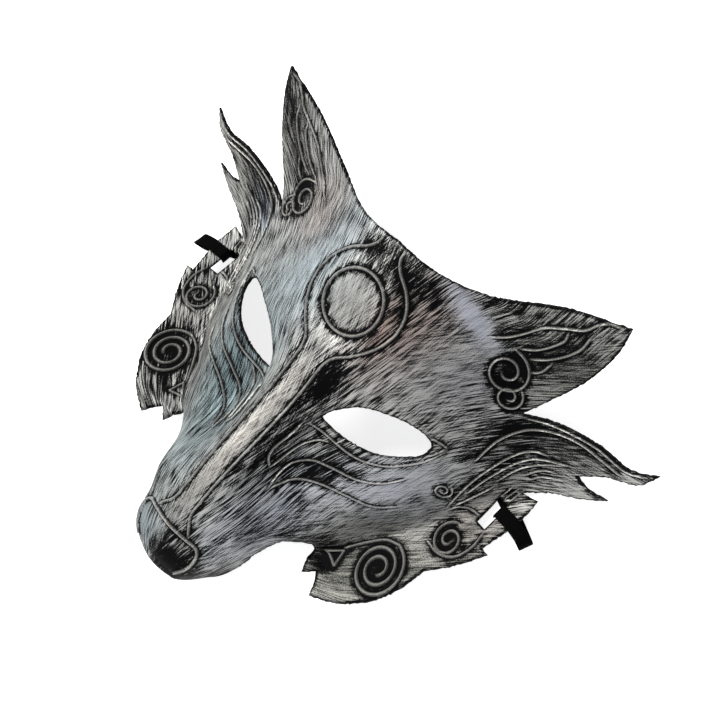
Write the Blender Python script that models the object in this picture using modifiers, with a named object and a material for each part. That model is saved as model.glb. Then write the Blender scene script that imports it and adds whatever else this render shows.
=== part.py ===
"""Wolf half mask: a moulded plastic shell with raised ornament, and a flat elastic head strap.

The mask lies face up. +X is the wearer's left, +Y runs from the nose to the ears, +Z is up.
The face is drawn flat, as seen from the front, in shares of a few sizes. Across is counted from
the mirror plane, along from the centre of the forehead ring, towards the ears, and height from
the ring's plane.
"""
import math

import bmesh
import bpy
import numpy as np
from mathutils import Matrix, Vector
from mathutils.geometry import delaunay_2d_cdt

# Sizes of the shell, in metres
HALF_WIDTH = 0.125
FACE_LENGTH = 0.200
FACE_DEPTH = 0.066
WALL = 0.0018
RING_RADIUS = 0.0132
EYE_LENGTH = 0.0434
SLOT_LENGTH = 0.0115
SLOT_WIDTH = 0.0046

# Sizes of the raised lines, in metres
LINE_WIDTH = 0.0018
LINE_HEIGHT = 0.0008

# Sizes of the strap, in metres
STRAP_WIDTH = 0.0062
STRAP_THICKNESS = 0.0008
STRAP_REACH = 0.0085
STRAP_BOW = 0.023
CLEARANCE = 0.0003

# Nearer than this to the mirror plane, in metres, a point lies on it
ON_PLANE = 0.000001

# Mesh fineness, in metres
EDGE_STEP = 0.0028
LINE_STEP = 0.0030
FRONT_STEP = 0.0060
BACK_STEP = 0.0065

# Sections across the face from the nose to the forehead, in percent of the face's length (along),
# of its half width (across) and of its depth (height). Each row gives the ridge on the mirror
# plane, then the bridge's side, the inner cheek, the cheekbone, the outer cheek and the rim.
SECTIONS = (
    # along, ridge, bridge,        inner,         cheekbone,     outer,         rim
    (-71.0, -8.0, (1.6, -8.5), (3.2, -9.0), (4.8, -11.0), (6.0, -13.5), (7.0, -17.0)),
    (-69.0, 15.0, (3.2, 14.0), (5.8, 12.0), (8.2, 8.0), (9.9, -2.0), (11.1, -17.0)),
    (-65.5, 25.5, (4.8, 24.5), (8.6, 22.5), (12.0, 17.5), (13.8, 4.0), (15.1, -17.0)),
    (-61.0, 29.5, (6.4, 28.5), (11.2, 26.0), (15.0, 20.0), (17.0, 4.5), (18.3, -17.0)),
    (-56.0, 31.0, (6.4, 29.5), (12.0, 26.0), (16.6, 19.0), (18.9, 4.5), (20.4, -17.0)),
    (-50.0, 29.0, (5.6, 27.5), (13.6, 24.0), (20.0, 15.5), (22.8, 2.0), (24.8, -17.0)),
    (-44.0, 26.0, (5.6, 24.0), (14.4, 13.5), (21.6, 3.5), (28.8, -7.0), (39.2, -23.0)),
    (-37.5, 21.0, (4.8, 19.5), (14.4, 0.0), (24.8, -7.5), (34.4, -15.0), (47.2, -38.0)),
    (-30.0, 14.0, (4.8, 12.0), (14.4, -7.5), (25.6, -11.0), (38.4, -18.0), (55.2, -48.0)),
    (-22.5, 8.0, (4.8, 6.0), (13.6, -7.0), (25.6, -11.0), (38.4, -17.5), (58.4, -53.0)),
    (-13.0, 3.0, (5.6, 3.0), (16.0, -1.0), (28.8, -8.0), (40.0, -20.5), (57.6, -52.0)),
    (-4.0, 1.0, (6.4, 1.0), (16.0, -1.5), (28.8, -11.5), (41.6, -28.0), (57.6, -50.0)),
    (6.0, 0.0, (6.4, -0.5), (16.0, -5.5), (28.8, -17.5), (41.6, -32.5), (57.6, -50.0)),
    (17.0, -1.5, (6.4, -2.5), (16.0, -7.5), (28.8, -19.5), (41.6, -33.5), (57.6, -51.5)),
)

# Flat sheets that grow out of the face, each through three corners (across, along, height)
SHEETS = {
    "panel": ((45.0, -51.6, -6.7), (76.4, -24.3, -45.0), (60.8, -43.2, -15.4)),
    "ear": ((70.0, 27.2, -11.5), (60.2, 5.5, -52.0), (40.6, 19.8, -18.6)),
    "lock": ((99.3, 9.2, -41.2), (92.3, -1.3, -56.7), (75.2, -9.1, -68.5)),
}
# How softly each sheet meets what lies under it, in percent of the depth
SHEET_BLEND = {"panel": 3.0, "ear": 4.5, "lock": 6.0}
# The height of the muzzle's rim, and along from where the rim falls away into the cheek
MUZZLE_RIM = -15.0
MUZZLE_END = (-47.5, -44.5)
# Across from where the panel starts beside the muzzle, and the share where it is whole
PANEL_START = (27.0, 33.5)

# The outline of one half from the forehead round to the nose, (across, along), stretch by stretch
OUTLINE = {
    "forehead": ((0.0, 14.6), (16.0, 14.4), (31.0, 16.5), (51.5, 23.3), (70.0, 27.5)),
    "ear_side": ((70.0, 27.5), (70.4, 22.5), (67.4, 15.0), (61.4, 7.0), (56.8, 1.3)),
    "lock_top": ((56.8, 1.3), (65.8, 4.1), (79.8, 6.5), (92.4, 6.9), (99.3, 9.6)),
    "lock_under": ((99.3, 9.6), (96.6, 5.8), (87.6, 2.4), (81.0, -1.5)),
    "second_lock_top": ((81.0, -1.5), (85.6, -2.1), (92.3, -1.2)),
    "second_lock_under": ((92.3, -1.2), (85.8, -4.7), (78.4, -7.8), (70.7, -12.3)),
    "flap_top": ((70.7, -12.3), (75.9, -11.3)),
    "flap_side": ((75.9, -11.3), (76.2, -15.7), (73.6, -24.0)),
    "tooth": ((73.6, -24.0), (76.4, -23.9)),
    "panel_side": ((76.4, -23.9), (70.8, -29.7), (65.6, -33.8)),
    "panel_end": ((65.6, -33.8), (64.4, -38.5), (60.5, -43.7), (52.8, -48.7), (45.0, -51.5)),
    "panel_corner": ((45.0, -51.5), (42.6, -49.2)),
    "panel_notch": ((42.6, -49.2), (40.8, -48.1)),
    "panel_tip": ((40.8, -48.1), (37.3, -50.3)),
    "panel_root": ((37.3, -50.3), (34.1, -45.2)),
    "muzzle_side": ((34.1, -45.2), (29.2, -47.2), (24.8, -50.2), (21.0, -55.5), (18.7, -61.0)),
    "nose": ((18.7, -61.0), (15.3, -65.8), (11.2, -68.9), (6.0, -70.7), (0.0, -71.1)),
}

# The eye hole's middle (across, along) and its rim in percent of the eye's length from there
EYE_MIDDLE = (28.8, -17.4)
EYE_RIM = (
    (-45.5, -23.0), (-33.0, -2.0), (-18.5, 11.5), (-4.0, 18.5), (10.0, 23.0), (25.0, 25.0),
    (38.0, 23.0), (44.5, 17.0), (43.0, 6.0), (34.0, -3.0), (22.0, -12.0), (8.0, -19.0),
    (-8.0, -23.5), (-24.0, -26.0), (-37.0, -26.0),
)

# The strap slot's middle, (across, along)
SLOT_MIDDLE = (68.2, -18.6)

# Raised lines of one half, (across, along)
LINES = {
    "keyhole": (
        (4.4, 13.6), (4.8, 12.0), (6.8, 10.3), (12.0, 7.8), (15.8, 4.4), (17.0, 1.2),
        (16.6, -1.8), (14.6, -4.8), (10.6, -8.2), (6.4, -10.8), (5.0, -12.8), (4.7, -18.0),
        (4.5, -27.0), (4.2, -38.0), (3.9, -48.0), (4.3, -52.2), (6.2, -54.2), (7.8, -55.9),
    ),
    "nose_border": (
        (0.0, -56.7), (8.0, -56.6), (11.4, -56.7), (13.2, -58.0), (13.4, -60.2), (12.2, -62.6),
        (9.6, -65.2),
    ),
    "under_eye": (
        (11.4, -24.8), (20.5, -24.8), (30.0, -24.1), (37.5, -21.8), (41.2, -19.7), (45.0, -16.7),
        (47.6, -12.6),
    ),
    "hook": ((9.8, -25.2), (9.4, -28.6), (8.7, -32.4), (9.2, -34.4), (11.0, -36.3)),
    "hook_return": ((11.0, -36.3), (11.6, -33.2), (12.9, -29.4), (15.6, -26.9), (19.0, -25.6)),
    "upper_flow": (
        (14.4, -39.6), (13.6, -36.6), (14.2, -33.6), (18.0, -31.0), (24.0, -29.4), (33.6, -27.6),
        (40.0, -25.0), (44.4, -21.4),
    ),
    "lower_flow": ((14.9, -39.8), (17.6, -36.2), (24.0, -33.6), (33.6, -31.7), (41.6, -30.4), (47.0, -27.7)),
    "panel_lead": ((42.1, -41.8), (45.8, -38.5), (50.0, -35.5), (55.0, -34.2)),
    "panel_bow": ((60.0, -30.2), (65.4, -30.1), (69.6, -28.4), (71.4, -25.2), (70.8, -22.0)),
    "panel_crest": ((57.6, -23.6), (59.0, -22.0), (62.0, -21.0), (65.8, -20.6)),
    "ear_long": (
        (36.4, 10.1), (42.0, 12.7), (47.6, 17.0), (51.6, 19.3), (57.4, 21.3), (62.0, 24.0),
        (64.6, 25.4),
    ),
    "ear_middle": ((46.4, 11.8), (51.0, 14.1), (53.8, 16.8), (55.6, 19.6)),
    "ear_low": ((49.9, 11.2), (55.8, 14.6), (60.0, 18.1), (62.2, 21.6)),
    "lock_high": ((52.1, -11.5), (55.8, -5.7), (60.0, -0.4), (69.3, 3.2), (76.6, 5.1), (84.8, 5.9)),
    "lock_second": ((57.4, -22.8), (58.2, -17.0), (60.8, -9.8), (65.6, -3.6), (72.0, -1.4)),
    "lock_third": ((60.2, -14.6), (63.8, -7.2), (68.0, -4.0), (74.8, -1.8)),
    "lock_fourth": ((63.2, -13.6), (66.4, -8.4), (70.4, -5.3), (75.6, -3.4)),
    "lock_fifth": ((69.0, -8.4), (75.4, -5.1)),
}

# Spirals of one half: middle (across, along), outer and inner radius in percent of the face's
# length, the angle in degrees where the outer end stands, and clockwise turns from there inwards
SPIRALS = {
    "panel_spiral": ((54.8, -39.6), 5.2, 1.2, 95.0, 2.4),
    "second_panel_spiral": ((64.4, -27.3), 3.3, 0.6, 100.0, -1.7),
    "ear_spiral": ((46.6, 6.6), 4.5, 1.1, 100.0, 1.6),
    "second_ear_spiral": ((51.2, 2.8), 2.7, 0.7, 70.0, 1.4),
    "cheek_spiral": ((53.2, -20.4), 1.6, 0.4, 60.0, 1.5),
}

TRIANGLE = ((38.3, -44.4), (42.6, -42.3), (43.9, -45.3))

# Where the panel leaves the cheek, (across, along)
CREASE = ((42.1, -41.8), (46.6, -37.5), (51.7, -33.1), (55.0, -28.6), (57.1, -23.8))


def hermite(knots, values, slopes, at):
    """Smooth curves through rows of values, carried on straight past both ends."""
    span = np.clip(np.searchsorted(knots, at) - 1, 0, len(knots) - 2)
    step = (knots[span + 1] - knots[span])[:, None]
    share = (at - knots[span])[:, None] / step
    inside = np.clip(share, 0.0, 1.0)
    square, cube = inside ** 2, inside ** 3
    result = (2 * cube - 3 * square + 1) * values[span] + (cube - 2 * square + inside) * step * slopes[span]
    result += (3 * square - 2 * cube) * values[span + 1] + (cube - square) * step * slopes[span + 1]
    outside = (share - inside) * step
    return result + outside * np.where(share < 0.0, slopes[span], slopes[span + 1])


def knot_slopes(knots, values):
    """Slopes at each knot, weighted from the spans on both sides."""
    steps = np.diff(knots)[:, None]
    rises = np.diff(values, axis=0) / steps
    inner = (rises[:-1] * steps[1:] + rises[1:] * steps[:-1]) / (steps[1:] + steps[:-1])
    return np.vstack([rises[:1], inner, rises[-1:]])


def section_columns():
    """The section table as knots along the face and, for each, places across and heights."""
    along = np.array([row[0] for row in SECTIONS]) / 100.0 * FACE_LENGTH
    across = np.array([[0.0] + [pair[0] for pair in row[2:]] for row in SECTIONS]) / 100.0 * HALF_WIDTH
    height = np.array([[row[1]] + [pair[1] for pair in row[2:]] for row in SECTIONS]) / 100.0 * FACE_DEPTH
    return along, across, height


def face_height(x, y):
    """Height of the face alone, without ears, locks and panels."""
    along, across, height = section_columns()
    places = hermite(along, across, knot_slopes(along, across), y)
    levels = hermite(along, height, knot_slopes(along, height), y)
    steps = np.diff(places, axis=1)
    rises = np.diff(levels, axis=1) / steps
    inner = (rises[:, :-1] * steps[:, 1:] + rises[:, 1:] * steps[:, :-1]) / (steps[:, 1:] + steps[:, :-1])
    slopes = np.hstack([np.zeros((len(x), 1)), inner, rises[:, -1:]])
    span = np.clip((x[:, None] > places).sum(axis=1) - 1, 0, places.shape[1] - 2)
    row = np.arange(len(x))
    step = steps[row, span]
    share = (x - places[row, span]) / step
    inside = np.clip(share, 0.0, 1.0)
    square, cube = inside ** 2, inside ** 3
    result = (2 * cube - 3 * square + 1) * levels[row, span]
    result += (cube - 2 * square + inside) * step * slopes[row, span]
    result += (3 * square - 2 * cube) * levels[row, span + 1]
    result += (cube - square) * step * slopes[row, span + 1]
    return result + (share - inside) * step * slopes[row, span + 1]


def smooth_step(low, high, value):
    share = np.clip((value - low) / (high - low), 0.0, 1.0)
    return share * share * (3.0 - 2.0 * share)


def sheet_height(name, x, y):
    """Height of a flat sheet through its three corners."""
    corners = np.array(SHEETS[name]) / 100.0 * (HALF_WIDTH, FACE_LENGTH, FACE_DEPTH)
    plan = np.column_stack([np.ones(3), corners[:, 0], corners[:, 1]])
    level, slope_across, slope_along = np.linalg.solve(plan, corners[:, 2])
    height = level + slope_across * x + slope_along * y
    if name == "panel":
        start, whole = (share / 100.0 * HALF_WIDTH for share in PANEL_START)
        height -= FACE_DEPTH * (1.0 - smooth_step(start, whole, x))
    return height


def mask_height(x, y):
    """Height of the smooth front surface at places given as arrays."""
    x = np.abs(x)
    height = face_height(x, y)
    start, end = (share / 100.0 * FACE_LENGTH for share in MUZZLE_END)
    rim = (MUZZLE_RIM / 100.0 - smooth_step(start, end, y)) * FACE_DEPTH
    height = 0.5 * (height + rim + np.sqrt((height - rim) ** 2 + (0.01 * FACE_DEPTH) ** 2))
    for name, blend in SHEET_BLEND.items():
        softness = blend / 100.0 * FACE_DEPTH
        other = sheet_height(name, x, y)
        height = 0.5 * (height + other + np.sqrt((height - other) ** 2 + softness ** 2))
    disc = 1.0 - smooth_step(RING_RADIUS, 1.6 * RING_RADIUS, np.hypot(x, y))
    return height * (1.0 - disc)


def mask_normals(x, y):
    """Unit normals of the smooth front surface."""
    reach = 0.0002
    slope_x = (mask_height(x + reach, y) - mask_height(x - reach, y)) / (2.0 * reach)
    slope_y = (mask_height(x, y + reach) - mask_height(x, y - reach)) / (2.0 * reach)
    slope_x = np.where(x < ON_PLANE, 0.0, slope_x)
    normals = np.column_stack([-slope_x, -slope_y, np.ones(len(x))])
    return normals / np.linalg.norm(normals, axis=1)[:, None]


def on_face(shares):
    """Places (across, along) in metres from shares in percent."""
    return np.array(shares, dtype=float) / 100.0 * (HALF_WIDTH, FACE_LENGTH)


def smooth_run(points, step, closed=False):
    """Points spaced evenly along a smooth curve through the given points."""
    points = np.asarray(points, dtype=float)
    if len(points) == 2:
        fine = points[0] + np.linspace(0.0, 1.0, 9)[:, None] * (points[1] - points[0])
    else:
        if closed:
            points = np.vstack([points[-2:], points, points[:2]])
        chords = np.sqrt(np.linalg.norm(np.diff(points, axis=0), axis=1))
        knots = np.concatenate([[0.0], np.cumsum(chords)])
        first, last = (knots[2], knots[-2]) if closed else (knots[0], knots[-1])
        fine = hermite(knots, points, knot_slopes(knots, points), np.linspace(first, last, 24 * len(points)))
    lengths = np.concatenate([[0.0], np.cumsum(np.linalg.norm(np.diff(fine, axis=0), axis=1))])
    count = max(1, round(lengths[-1] / step))
    places = np.linspace(0.0, lengths[-1], count + 1)
    run = np.column_stack([np.interp(places, lengths, fine[:, axis]) for axis in range(fine.shape[1])])
    return run[:-1] if closed else run


def outline_points():
    """The half outline from the mirror plane at the forehead to the mirror plane at the nose."""
    runs = [smooth_run(on_face(points), EDGE_STEP) for points in OUTLINE.values()]
    return np.vstack([run[:-1] for run in runs] + [runs[-1][-1:]])


def eye_points():
    middle = on_face(EYE_MIDDLE)
    return smooth_run(middle + np.array(EYE_RIM) / 100.0 * EYE_LENGTH, EDGE_STEP, closed=True)


def slot_points():
    """The slot's corners and its long sides' middles."""
    middle = on_face(SLOT_MIDDLE)
    half = np.array([SLOT_WIDTH, SLOT_LENGTH]) / 2.0
    signs = ((-1, -1), (1, -1), (1, 0), (1, 1), (-1, 1), (-1, 0))
    return middle + np.array(signs) * half


def spiral_points(middle, outer, inner, start, turns):
    """A spiral from its outer end inwards; a negative count of turns runs anticlockwise."""
    count = max(12, round(abs(turns) * 14))
    share = np.linspace(0.0, 1.0, count)
    angle = np.radians(start) - 2.0 * math.pi * turns * share
    radius = (outer + (inner - outer) * share) / 100.0 * FACE_LENGTH
    return on_face(middle) + np.column_stack([radius * np.cos(angle), radius * np.sin(angle)])


def ring_points():
    """Half of the forehead ring, from the top to the bottom of the mirror plane."""
    angle = np.linspace(0.0, math.pi, 15)
    return RING_RADIUS * np.column_stack([np.sin(angle), np.cos(angle)])


def shape_lines():
    """Runs of points along the steep muzzle wall and along the panel's crease."""
    along, across, _ = section_columns()
    at = np.arange(-0.70, -0.46, EDGE_STEP / FACE_LENGTH) * FACE_LENGTH
    places = hermite(along, across, knot_slopes(along, across), at)
    wall = [(-3, 0.0), (-3, 0.5), (-2, 0.0), (-2, 0.35), (-2, 0.7), (-1, 0.0)]
    lines = []
    for column, share in wall:
        ahead = places[:, column + 1] if share else places[:, column]
        lines.append(np.column_stack([places[:, column] + share * (ahead - places[:, column]), at]))
    crease = smooth_run(on_face(CREASE), EDGE_STEP)
    return lines + [crease, beside(crease, -LINE_WIDTH), beside(crease, LINE_WIDTH)]


def clear_runs(lines, loops, margin):
    """The stretches of the lines that keep a margin from every edge."""
    edges = [loops[0]] + [np.vstack([loop, loop[:1]]) for loop in loops[1:]]
    runs = []
    for line in lines:
        run = []
        for point, gap in zip(line, line_distance(line, edges)):
            if gap > margin or point[0] < ON_PLANE:
                run.append(point)
            else:
                runs.append(run)
                run = []
        runs.append(run)
    return [np.array(run) for run in runs if len(run) > 1]


def raised_lines():
    """Every raised line of one half as a run of points."""
    lines = [ring_points()]
    lines += [smooth_run(on_face(points), LINE_STEP) for points in LINES.values()]
    lines += [smooth_run(spiral_points(*spiral), LINE_STEP * 0.8) for spiral in SPIRALS.values()]
    corners = on_face(TRIANGLE)
    lines.append(np.vstack([corners, corners[:1]]))
    return lines


def line_distance(points, lines):
    """Distance of each point from the nearest raised line, in the flat drawing."""
    nearest = np.full(len(points), np.inf)
    for line in lines:
        for start, end in zip(line[:-1], line[1:]):
            along = end - start
            share = np.clip((points - start) @ along / (along @ along), 0.0, 1.0)
            gap = points - start - share[:, None] * along
            nearest = np.minimum(nearest, np.hypot(gap[:, 0], gap[:, 1]))
    return nearest


def beside(line, offset):
    """The line moved sideways in the flat drawing, kept off the mirror plane's far side."""
    direction = np.gradient(line, axis=0)
    direction /= np.linalg.norm(direction, axis=1)[:, None]
    moved = line + offset * np.column_stack([direction[:, 1], -direction[:, 0]])
    moved[:, 0] = np.maximum(moved[:, 0], 0.0)
    moved[line[:, 0] < ON_PLANE, 0] = 0.0
    return moved


def inside_loop(points, loop):
    """Which points lie inside a closed loop."""
    inside = np.zeros(len(points), dtype=bool)
    for (x0, y0), (x1, y1) in zip(loop, np.roll(loop, -1, axis=0)):
        crosses = (y0 > points[:, 1]) != (y1 > points[:, 1])
        rise = y1 - y0 if y1 != y0 else 1.0
        where = x0 + (points[:, 1] - y0) * (x1 - x0) / rise
        inside ^= crosses & (points[:, 0] < where)
    return inside


def filling_points(step, loops, lines, margin):
    """Evenly spread points on the face, clear of its edges and raised lines."""
    columns = np.arange(0.0, HALF_WIDTH, step * math.sqrt(3.0) / 2.0)
    rows = np.arange(-FACE_LENGTH, FACE_LENGTH, step)
    grid = np.array([(x, y + step / 2.0 * (index % 2)) for index, x in enumerate(columns) for y in rows])
    keep = inside_loop(grid, loops[0])
    for hole in loops[1:]:
        keep &= ~inside_loop(grid, hole)
    grid = grid[keep]
    edges = [np.vstack([loop, loop[:1]]) for loop in loops]
    edges[0] = loops[0]
    clear = line_distance(grid, edges) > margin
    if lines:
        clear &= line_distance(grid, lines) > margin
    return grid[clear]


def flat_triangles(loops, lines, fill):
    """Triangles of the flat drawing, and the drawing's points that each loop keeps."""
    points, edges = [], []
    for loop in loops:
        first = len(points)
        points += [Vector(point) for point in loop]
        edges += [(first + i, first + (i + 1) % len(loop)) for i in range(len(loop))]
    rim = len(points)
    for line in lines:
        first = len(points)
        points += [Vector(point) for point in line]
        edges += [(first + i, first + i + 1) for i in range(len(line) - 1)]
    points += [Vector(point) for point in fill]
    result = delaunay_2d_cdt(points, edges, [], 0, 1e-6)
    places = np.array([tuple(point) for point in result[0]])
    places[places[:, 0] < ON_PLANE, 0] = 0.0
    faces = np.array(result[2])
    middles = places[faces].mean(axis=1)
    keep = inside_loop(middles, loops[0]) & (middles[:, 0] > 0.0)
    for hole in loops[1:]:
        keep &= ~inside_loop(middles, hole)
    new_index = {old: new for new, olds in enumerate(result[3]) for old in olds}
    rim_index = [new_index[old] for old in range(rim)]
    return places, faces[keep], rim_index


def add_layer(mesh, places, faces, lift, offset, flip):
    """Adds one skin of the shell: the drawing's points raised onto the face, with its faces."""
    x, y = places[:, 0], places[:, 1]
    normals = mask_normals(x, y)
    spots = np.column_stack([x, y, mask_height(x, y)]) + normals * (lift + offset)[:, None]
    spots[x < ON_PLANE, 0] = 0.0
    used = {index: mesh.verts.new(spots[index]) for index in sorted(set(faces.ravel().tolist()))}
    for face in faces:
        corners = [used[index] for index in face]
        mesh.faces.new(corners[::-1] if flip else corners)
    return used


def half_shell():
    """Half of the shell, open on the mirror plane: front skin, back skin and the rims between."""
    outline, eye, slot = outline_points(), eye_points(), slot_points()
    loops = [outline, eye, slot]
    lines = clear_runs(raised_lines(), loops, 0.8 * LINE_WIDTH)
    shape = clear_runs(shape_lines(), loops, 0.25 * LINE_WIDTH)
    feet = [beside(line, side * LINE_WIDTH / 2.0) for line in lines for side in (-1.0, 1.0)]
    fill = filling_points(FRONT_STEP, loops, lines + shape, LINE_WIDTH)
    front, front_faces, front_rim = flat_triangles(loops, lines + feet + shape, fill)
    bulge = np.clip(line_distance(front, lines) / (LINE_WIDTH / 2.0), 0.0, 1.0)
    lift = LINE_HEIGHT * np.cos(bulge * math.pi / 2.0) ** 2
    fill = filling_points(BACK_STEP, loops, shape, BACK_STEP / 3.0)
    back, back_faces, back_rim = flat_triangles(loops, shape, fill)

    mesh = bmesh.new()
    top = add_layer(mesh, front, front_faces, lift, np.zeros(len(front)), flip=False)
    under = add_layer(mesh, back, back_faces, np.zeros(len(back)), np.full(len(back), -WALL), flip=True)
    first = 0
    for loop in loops:
        count = len(loop)
        open_end = loop is outline
        for i in range(count - 1 if open_end else count):
            here, ahead = first + i, first + (i + 1) % count
            corners = (top[front_rim[here]], top[front_rim[ahead]],
                       under[back_rim[ahead]], under[back_rim[here]])
            mesh.faces.new(corners)
        first += count
    bmesh.ops.recalc_face_normals(mesh, faces=mesh.faces)
    return mesh


def lower_edge(points):
    """The underside of a cloud of (y, z) points, from the nose to the ears."""
    hull = []
    for point in sorted(map(tuple, points)):
        while len(hull) > 1:
            (y0, z0), (y1, z1) = hull[-2], hull[-1]
            if (y1 - y0) * (point[1] - z0) - (z1 - z0) * (point[0] - y0) > 0:
                break
            hull.pop()
        hull.append(point)
    return hull


def seat_on_floor(points):
    """The turn and lift that lay the shell face up on its nose and on the strap under its flaps."""
    profile = points[:, 1:]
    balance = profile[:, 0].mean()
    lift = STRAP_THICKNESS + CLEARANCE
    hull = lower_edge(profile)
    nose, flap = next(pair for pair in zip(hull[:-1], hull[1:]) if pair[1][0] > balance)
    reach = math.hypot(flap[0] - nose[0], flap[1] - nose[1])
    tilt = math.atan2(nose[1] - flap[1], flap[0] - nose[0]) + math.asin(lift / reach)
    turn = Matrix.Rotation(tilt, 4, "X")
    turned = [turn @ Vector(point) for point in points]
    low = (turn @ Vector((0.0, nose[0], nose[1]))).z
    middle = (min(point.y for point in turned) + max(point.y for point in turned)) / 2.0
    return Matrix.Translation((0.0, -middle, -low)) @ turn


def panel_edge(strip, middle):
    """How far across the panel reaches where the strap of that middle passes over its edge."""
    outline = outline_points()
    beside_strap = (np.abs(outline[:, 1] - middle) < STRAP_WIDTH) & (outline[:, 0] > strip)
    return outline[beside_strap, 0].max()


def strap_rows(seat):
    """The strap's half route from the mirror plane to its end in the slot, with its width's way.

    It lies flat on the floor in a bow towards the forehead, runs out under the panel, folds back
    past the panel's edge, comes over the strip outside the slot and goes down through the slot,
    where its end is sewn to the run below."""
    half = STRAP_THICKNESS / 2.0
    above = CLEARANCE + half
    slot_x, slot_y = on_face(SLOT_MIDDLE) + (0.0, (SLOT_LENGTH - STRAP_WIDTH) * 0.4)
    strip = slot_x + SLOT_WIDTH / 2.0
    edge = panel_edge(strip, slot_y)

    def over(x, y, height):
        place = (np.array([x]), np.array([y]))
        spot = np.array([x, y, mask_height(*place)[0]]) + mask_normals(*place)[0] * height
        return seat @ Vector(spot)

    panel_way = (over(slot_x, slot_y + half, 0.0) - over(slot_x, slot_y - half, 0.0)).normalized()
    crown = over(edge, slot_y, above + half)
    rise = (crown.z - half) / 2.0
    turn_x = edge + STRAP_REACH - rise
    slope = 2.0 * STRAP_BOW / turn_x
    turn_y = crown.y - slope * (turn_x - edge) / 2.0
    ahead = Vector((1.0, -slope, 0.0)).normalized()
    turn_way = Vector((slope, 1.0, 0.0)).normalized()
    rows = []
    for share in np.linspace(0.0, 1.0, 18)[:-1]:
        spot = Vector((turn_x * share, turn_y + STRAP_BOW * (1.0 - share * share), half))
        rows.append((spot, Vector((0.0, 1.0, 0.0))))
    for share in np.linspace(0.0, 1.0, 12):
        angle = math.pi * share
        spot = Vector((turn_x, turn_y, half)) + ahead * rise * math.sin(angle)
        spot.z += rise * (1.0 - math.cos(angle))
        rows.append((spot, turn_way.lerp(panel_way, smooth_step(0.3, 1.0, share))))
    for x, height in (
        (edge, above + half),
        (edge * 0.5 + strip * 0.5, above + half),
        (strip + half, above + half),
        (strip - above * 0.2, above * 0.8),
        (strip - above - half, -half),
        (strip - above - half * 1.6, -WALL - half),
    ):
        rows.append((over(x, slot_y, height), panel_way))
    return rows


def half_strap(seat):
    """Half of the strap as a flat band swept along its route, open on the mirror plane."""
    rows = strap_rows(seat)
    tangents = np.gradient(np.array([spot for spot, _ in rows]), axis=0)
    mesh = bmesh.new()
    previous = None
    for (spot, way), tangent in zip(rows, tangents):
        ahead = Vector(tangent).normalized()
        way = (way - way.dot(ahead) * ahead).normalized()
        side = way * STRAP_WIDTH / 2.0
        up = ahead.cross(way) * STRAP_THICKNESS / 2.0
        ring = [mesh.verts.new(spot + corner) for corner in (side + up, up - side, -side - up, side - up)]
        if previous:
            for i in range(4):
                j = (i + 1) % 4
                mesh.faces.new((previous[i], previous[j], ring[j], ring[i]))
        else:
            for vert in ring:
                vert.co.x = 0.0
        previous = ring
    mesh.faces.new(previous[::-1])
    bmesh.ops.recalc_face_normals(mesh, faces=mesh.faces)
    return mesh


def make_material(name, colour, roughness, metallic):
    material = bpy.data.materials.new(name)
    material.use_nodes = True
    shader = material.node_tree.nodes["Principled BSDF"]
    shader.inputs["Base Color"].default_value = (*colour, 1.0)
    shader.inputs["Roughness"].default_value = roughness
    shader.inputs["Metallic"].default_value = metallic
    return material


def add_piece(name, half, material, collection):
    """Makes an object from its half and mirrors it across the mask's middle."""
    data = bpy.data.meshes.new(name)
    half.to_mesh(data)
    half.free()
    data.materials.append(material)
    data.shade_smooth()
    data.set_sharp_from_angle(angle=math.radians(50.0))
    piece = bpy.data.objects.new(name, data)
    collection.objects.link(piece)
    mirror = piece.modifiers.new("Mirror", "MIRROR")
    mirror.use_axis = (True, False, False)
    mirror.merge_threshold = 0.00001
    return piece


def main():
    for item in list(bpy.data.objects):
        bpy.data.objects.remove(item, do_unlink=True)
    collection = bpy.data.collections.new("wolf_mask")
    bpy.context.scene.collection.children.link(collection)

    shell_half = half_shell()
    seat = seat_on_floor(np.array([tuple(vert.co) for vert in shell_half.verts]))
    silver = make_material("antique_silver", (0.36, 0.36, 0.35), 0.45, 0.7)
    shell = add_piece("mask_shell", shell_half, silver, collection)
    shell.matrix_world = seat

    black = make_material("black_elastic", (0.012, 0.012, 0.013), 0.85, 0.0)
    add_piece("head_strap", half_strap(seat), black, collection)


main()
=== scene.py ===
"""Looks of the wolf half mask: moulded shell with dry-brushed silver paint, and woven elastic."""
import math

import bpy
import numpy as np
from mathutils import Matrix, Vector
from mathutils.geometry import delaunay_2d_cdt


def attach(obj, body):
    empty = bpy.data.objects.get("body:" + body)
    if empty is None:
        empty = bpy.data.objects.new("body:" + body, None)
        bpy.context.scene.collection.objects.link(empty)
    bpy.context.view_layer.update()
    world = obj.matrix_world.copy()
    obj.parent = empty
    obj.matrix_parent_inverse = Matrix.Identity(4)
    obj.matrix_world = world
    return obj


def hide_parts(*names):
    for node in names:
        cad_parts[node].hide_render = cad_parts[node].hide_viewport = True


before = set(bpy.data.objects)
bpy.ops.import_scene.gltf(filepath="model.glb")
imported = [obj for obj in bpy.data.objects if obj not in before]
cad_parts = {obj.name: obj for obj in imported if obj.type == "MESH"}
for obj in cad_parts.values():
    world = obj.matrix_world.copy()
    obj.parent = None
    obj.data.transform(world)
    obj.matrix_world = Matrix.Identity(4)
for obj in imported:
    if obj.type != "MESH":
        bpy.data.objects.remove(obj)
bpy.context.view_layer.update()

# Sizes in metres, as in the part
HALF_WIDTH = 0.125
FACE_LENGTH = 0.200
FACE_DEPTH = 0.066
WALL = 0.0018
RING_RADIUS = 0.0132
EYE_LENGTH = 0.0434
SLOT_LENGTH = 0.0115
SLOT_WIDTH = 0.0046
STRAP_WIDTH = 0.0062
STRAP_THICKNESS = 0.0008
STRAP_REACH = 0.0085
STRAP_BOW = 0.023
CLEARANCE = 0.0003
ON_PLANE = 0.000001
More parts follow.
